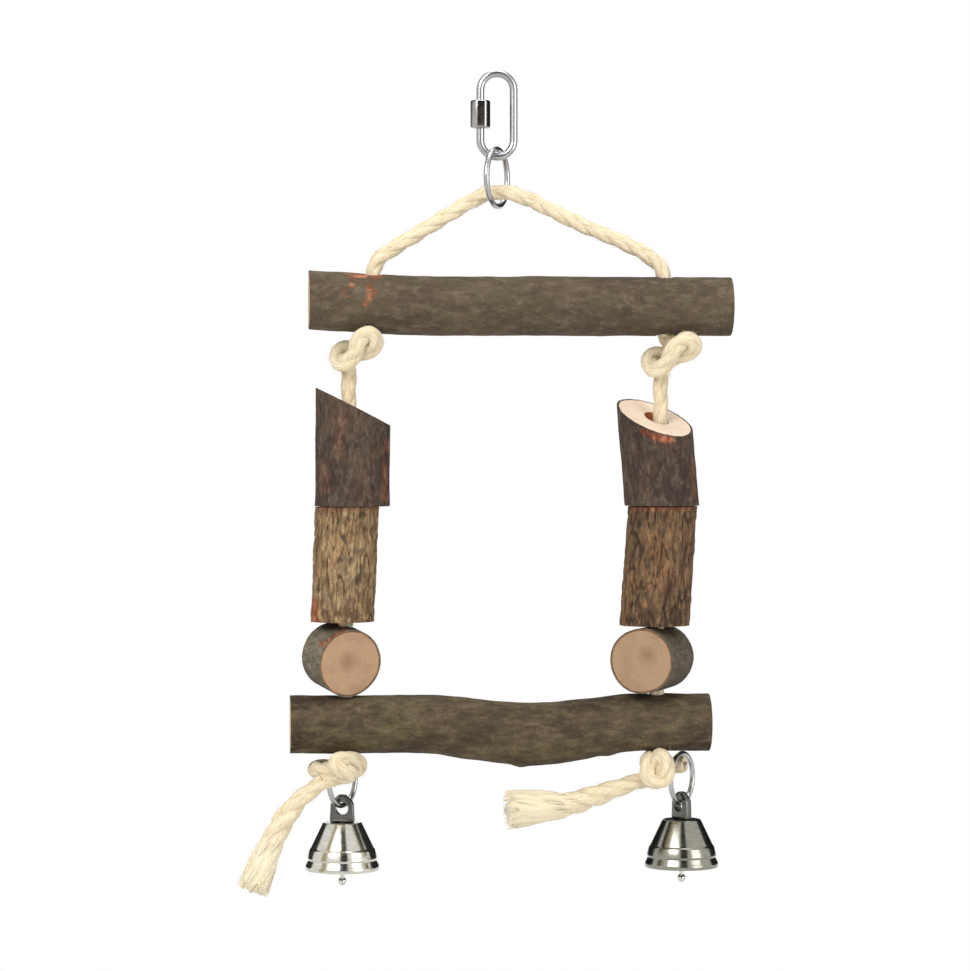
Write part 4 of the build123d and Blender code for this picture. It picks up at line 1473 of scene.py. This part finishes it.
# %% Bell cups
CROWN_Z = -290.8
CUP_STEPS = 96
cup_section = (
    (1.2, 0.0), (7.5, 0.0), (12.36, -10.1), (12.86, -10.6), (13.8, -14.1), (13.3, -14.6), (14.5, -17.1),
    (14.5, -18.7), (12.7, -18.7), (12.4, -14.6), (11.46, -10.1), (6.6, -0.9), (1.2, -0.9),
)
for side in ("left", "right"):
    section = bpy.data.meshes.new(f"{side}_spun_cup")
    count = len(cup_section)
    corners = [(radius * MM, 0.0, (CROWN_Z + drop) * MM) for radius, drop in cup_section]
    section.from_pydata(corners, [(i, (i + 1) % count) for i in range(count)], [])
    cup = bpy.data.objects.new(f"{side}_spun_cup", section)
    bpy.context.scene.collection.objects.link(cup)
    pick_only(cup)
    set_mode("EDIT")
    bpy.ops.mesh.select_all(action="SELECT")
    bpy.ops.mesh.spin(steps=CUP_STEPS, angle=2 * math.pi, center=(0, 0, 0), axis=(0, 0, 1))
    bpy.ops.mesh.select_all(action="SELECT")
    bpy.ops.mesh.remove_doubles(threshold=0.005 * MM)
    bpy.ops.mesh.normals_make_consistent(inside=False)
    set_mode("OBJECT")
    soften(cup, width=0.32, segments=3, bend=12)
    at_bell(cup, side)
    # The right cup gets the darker plating, which is a painted reflection.
    cup.data.materials.append(bell_plating if side == "left" else dark_reflection_bell_plating)
    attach(cup, f"{side}_bell")
    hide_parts(f"{side}_bell_cup")
    print(cup.name, len(cup.data.polygons), "faces")

# %% [markdown]
# The nut is a hexagonal sleeve. Each flat shows one reflection only, so it is its rounded corners that
# make it look like metal. A six-sided cylinder is bevelled all round and drilled for the wire.

# %% Quick link nut
NUT_FLATS, NUT_BORE_RADIUS = 7.0, 1.6
low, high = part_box("quick_link_nut")
nut_middle = (low + high) / 2
bpy.ops.object.select_all(action="DESELECT")
half_corners = NUT_FLATS / 2 / math.cos(math.radians(30))
bpy.ops.mesh.primitive_cylinder_add(vertices=6, radius=half_corners * MM, depth=high.z - low.z)
nut = bpy.context.object
nut.name = "hexagon_nut"
nut.data.transform(Matrix.Translation(nut_middle) @ Matrix.Rotation(math.radians(30), 4, "Z"))
soften(nut, width=0.75, segments=5, bend=20)
drill(nut, nut_middle, (0, 0, 1), NUT_BORE_RADIUS * MM)
smooth(nut, METAL_BEND)
nut.data.materials.clear()
nut.data.materials.append(nut_plating)
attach(nut, "link_nut")
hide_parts("quick_link_nut")
print(nut.name, len(nut.data.polygons), "faces")

# %% [markdown]
# Each bell hangs by a stamped loop. A block is tapered, its upper corners are sawn off, its edges are
# rounded and a window is drilled for the ring.

# %% Stamped loop
HANGER_HEIGHT, HANGER_BASE, HANGER_TOP, HANGER_DEPTH = 10.9, 9.8, 8.6, 3.4
SHOULDER_DROP, WINDOW_DROP, WINDOW_RADIUS = 3.0, 5.45, 2.5


def stamped_loop(name):
    """The loop above a bell's crown, about the Z axis."""
    top_z = CROWN_Z + HANGER_HEIGHT
    bpy.ops.object.select_all(action="DESELECT")
    bpy.ops.mesh.primitive_cube_add(size=1.0)
    loop = bpy.context.object
    loop.name = name
    size = Matrix.Diagonal((HANGER_BASE * MM, HANGER_DEPTH * MM, HANGER_HEIGHT * MM, 1))
    loop.data.transform(Matrix.Translation((0, 0, (CROWN_Z + HANGER_HEIGHT / 2) * MM)) @ size)
    pick_faces(loop, lambda face: face.normal.z > 0.9)
    bpy.ops.transform.resize(value=(HANGER_TOP / HANGER_BASE, 1.0, 1.0))
    set_mode("OBJECT")
    for way in (-1, 1):
        corner = Vector((way * HANGER_TOP / 2, 0, top_z - SHOULDER_DROP)) * MM
        saw(loop, corner, (way * SHOULDER_DROP, 0, HANGER_TOP / 4))
    soften(loop, width=0.9, segments=4, bend=20)
    drill(loop, (0, 0, (top_z - WINDOW_DROP) * MM), (0, 1, 0), WINDOW_RADIUS * MM)
    return loop


# %% [markdown]
# A stem goes from the loop down through the crown and ends in the eye that holds the clapper. Loop, stem
# and eye are joined into one piece, since they move as one.

# %% Bell hangers
STEM_RADIUS, STEM_LENGTH, STEM_DROP = 1.2, 2.6, 0.8
EYE_Z, EYE_RADIUS, EYE_WIRE = -294.2, 1.95, 0.65
for side in ("left", "right"):
    loop = stamped_loop(f"{side}_stamped_loop")
    bpy.ops.object.select_all(action="DESELECT")
    bpy.ops.mesh.primitive_cylinder_add(vertices=24, radius=STEM_RADIUS * MM, depth=STEM_LENGTH * MM,
                                        location=(0, 0, (CROWN_Z - STEM_DROP) * MM))
    stem = bpy.context.object
    bpy.ops.mesh.primitive_torus_add(major_radius=EYE_RADIUS * MM, minor_radius=EYE_WIRE * MM,
                                     major_segments=32, minor_segments=12, location=(0, 0, EYE_Z * MM),
                                     rotation=(math.radians(90), 0, 0))
    eye = bpy.context.object
    for part in (stem, eye, loop):
        part.select_set(True)
    bpy.context.view_layer.objects.active = loop
    bpy.ops.object.join()
    smooth(loop, METAL_BEND)
    loop.data.materials.clear()
    loop.data.materials.append(hanger_plating)
    at_bell(loop, side)
    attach(loop, f"{side}_bell")
    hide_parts(f"{side}_bell_hanger")
    print(loop.name, len(loop.data.polygons), "faces")

# %% [markdown]
# Last, the size of the dressed swing is printed.

# %% Sizes and finish
low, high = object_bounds()
print("visual box", [round(v, 4) for v in high - low])
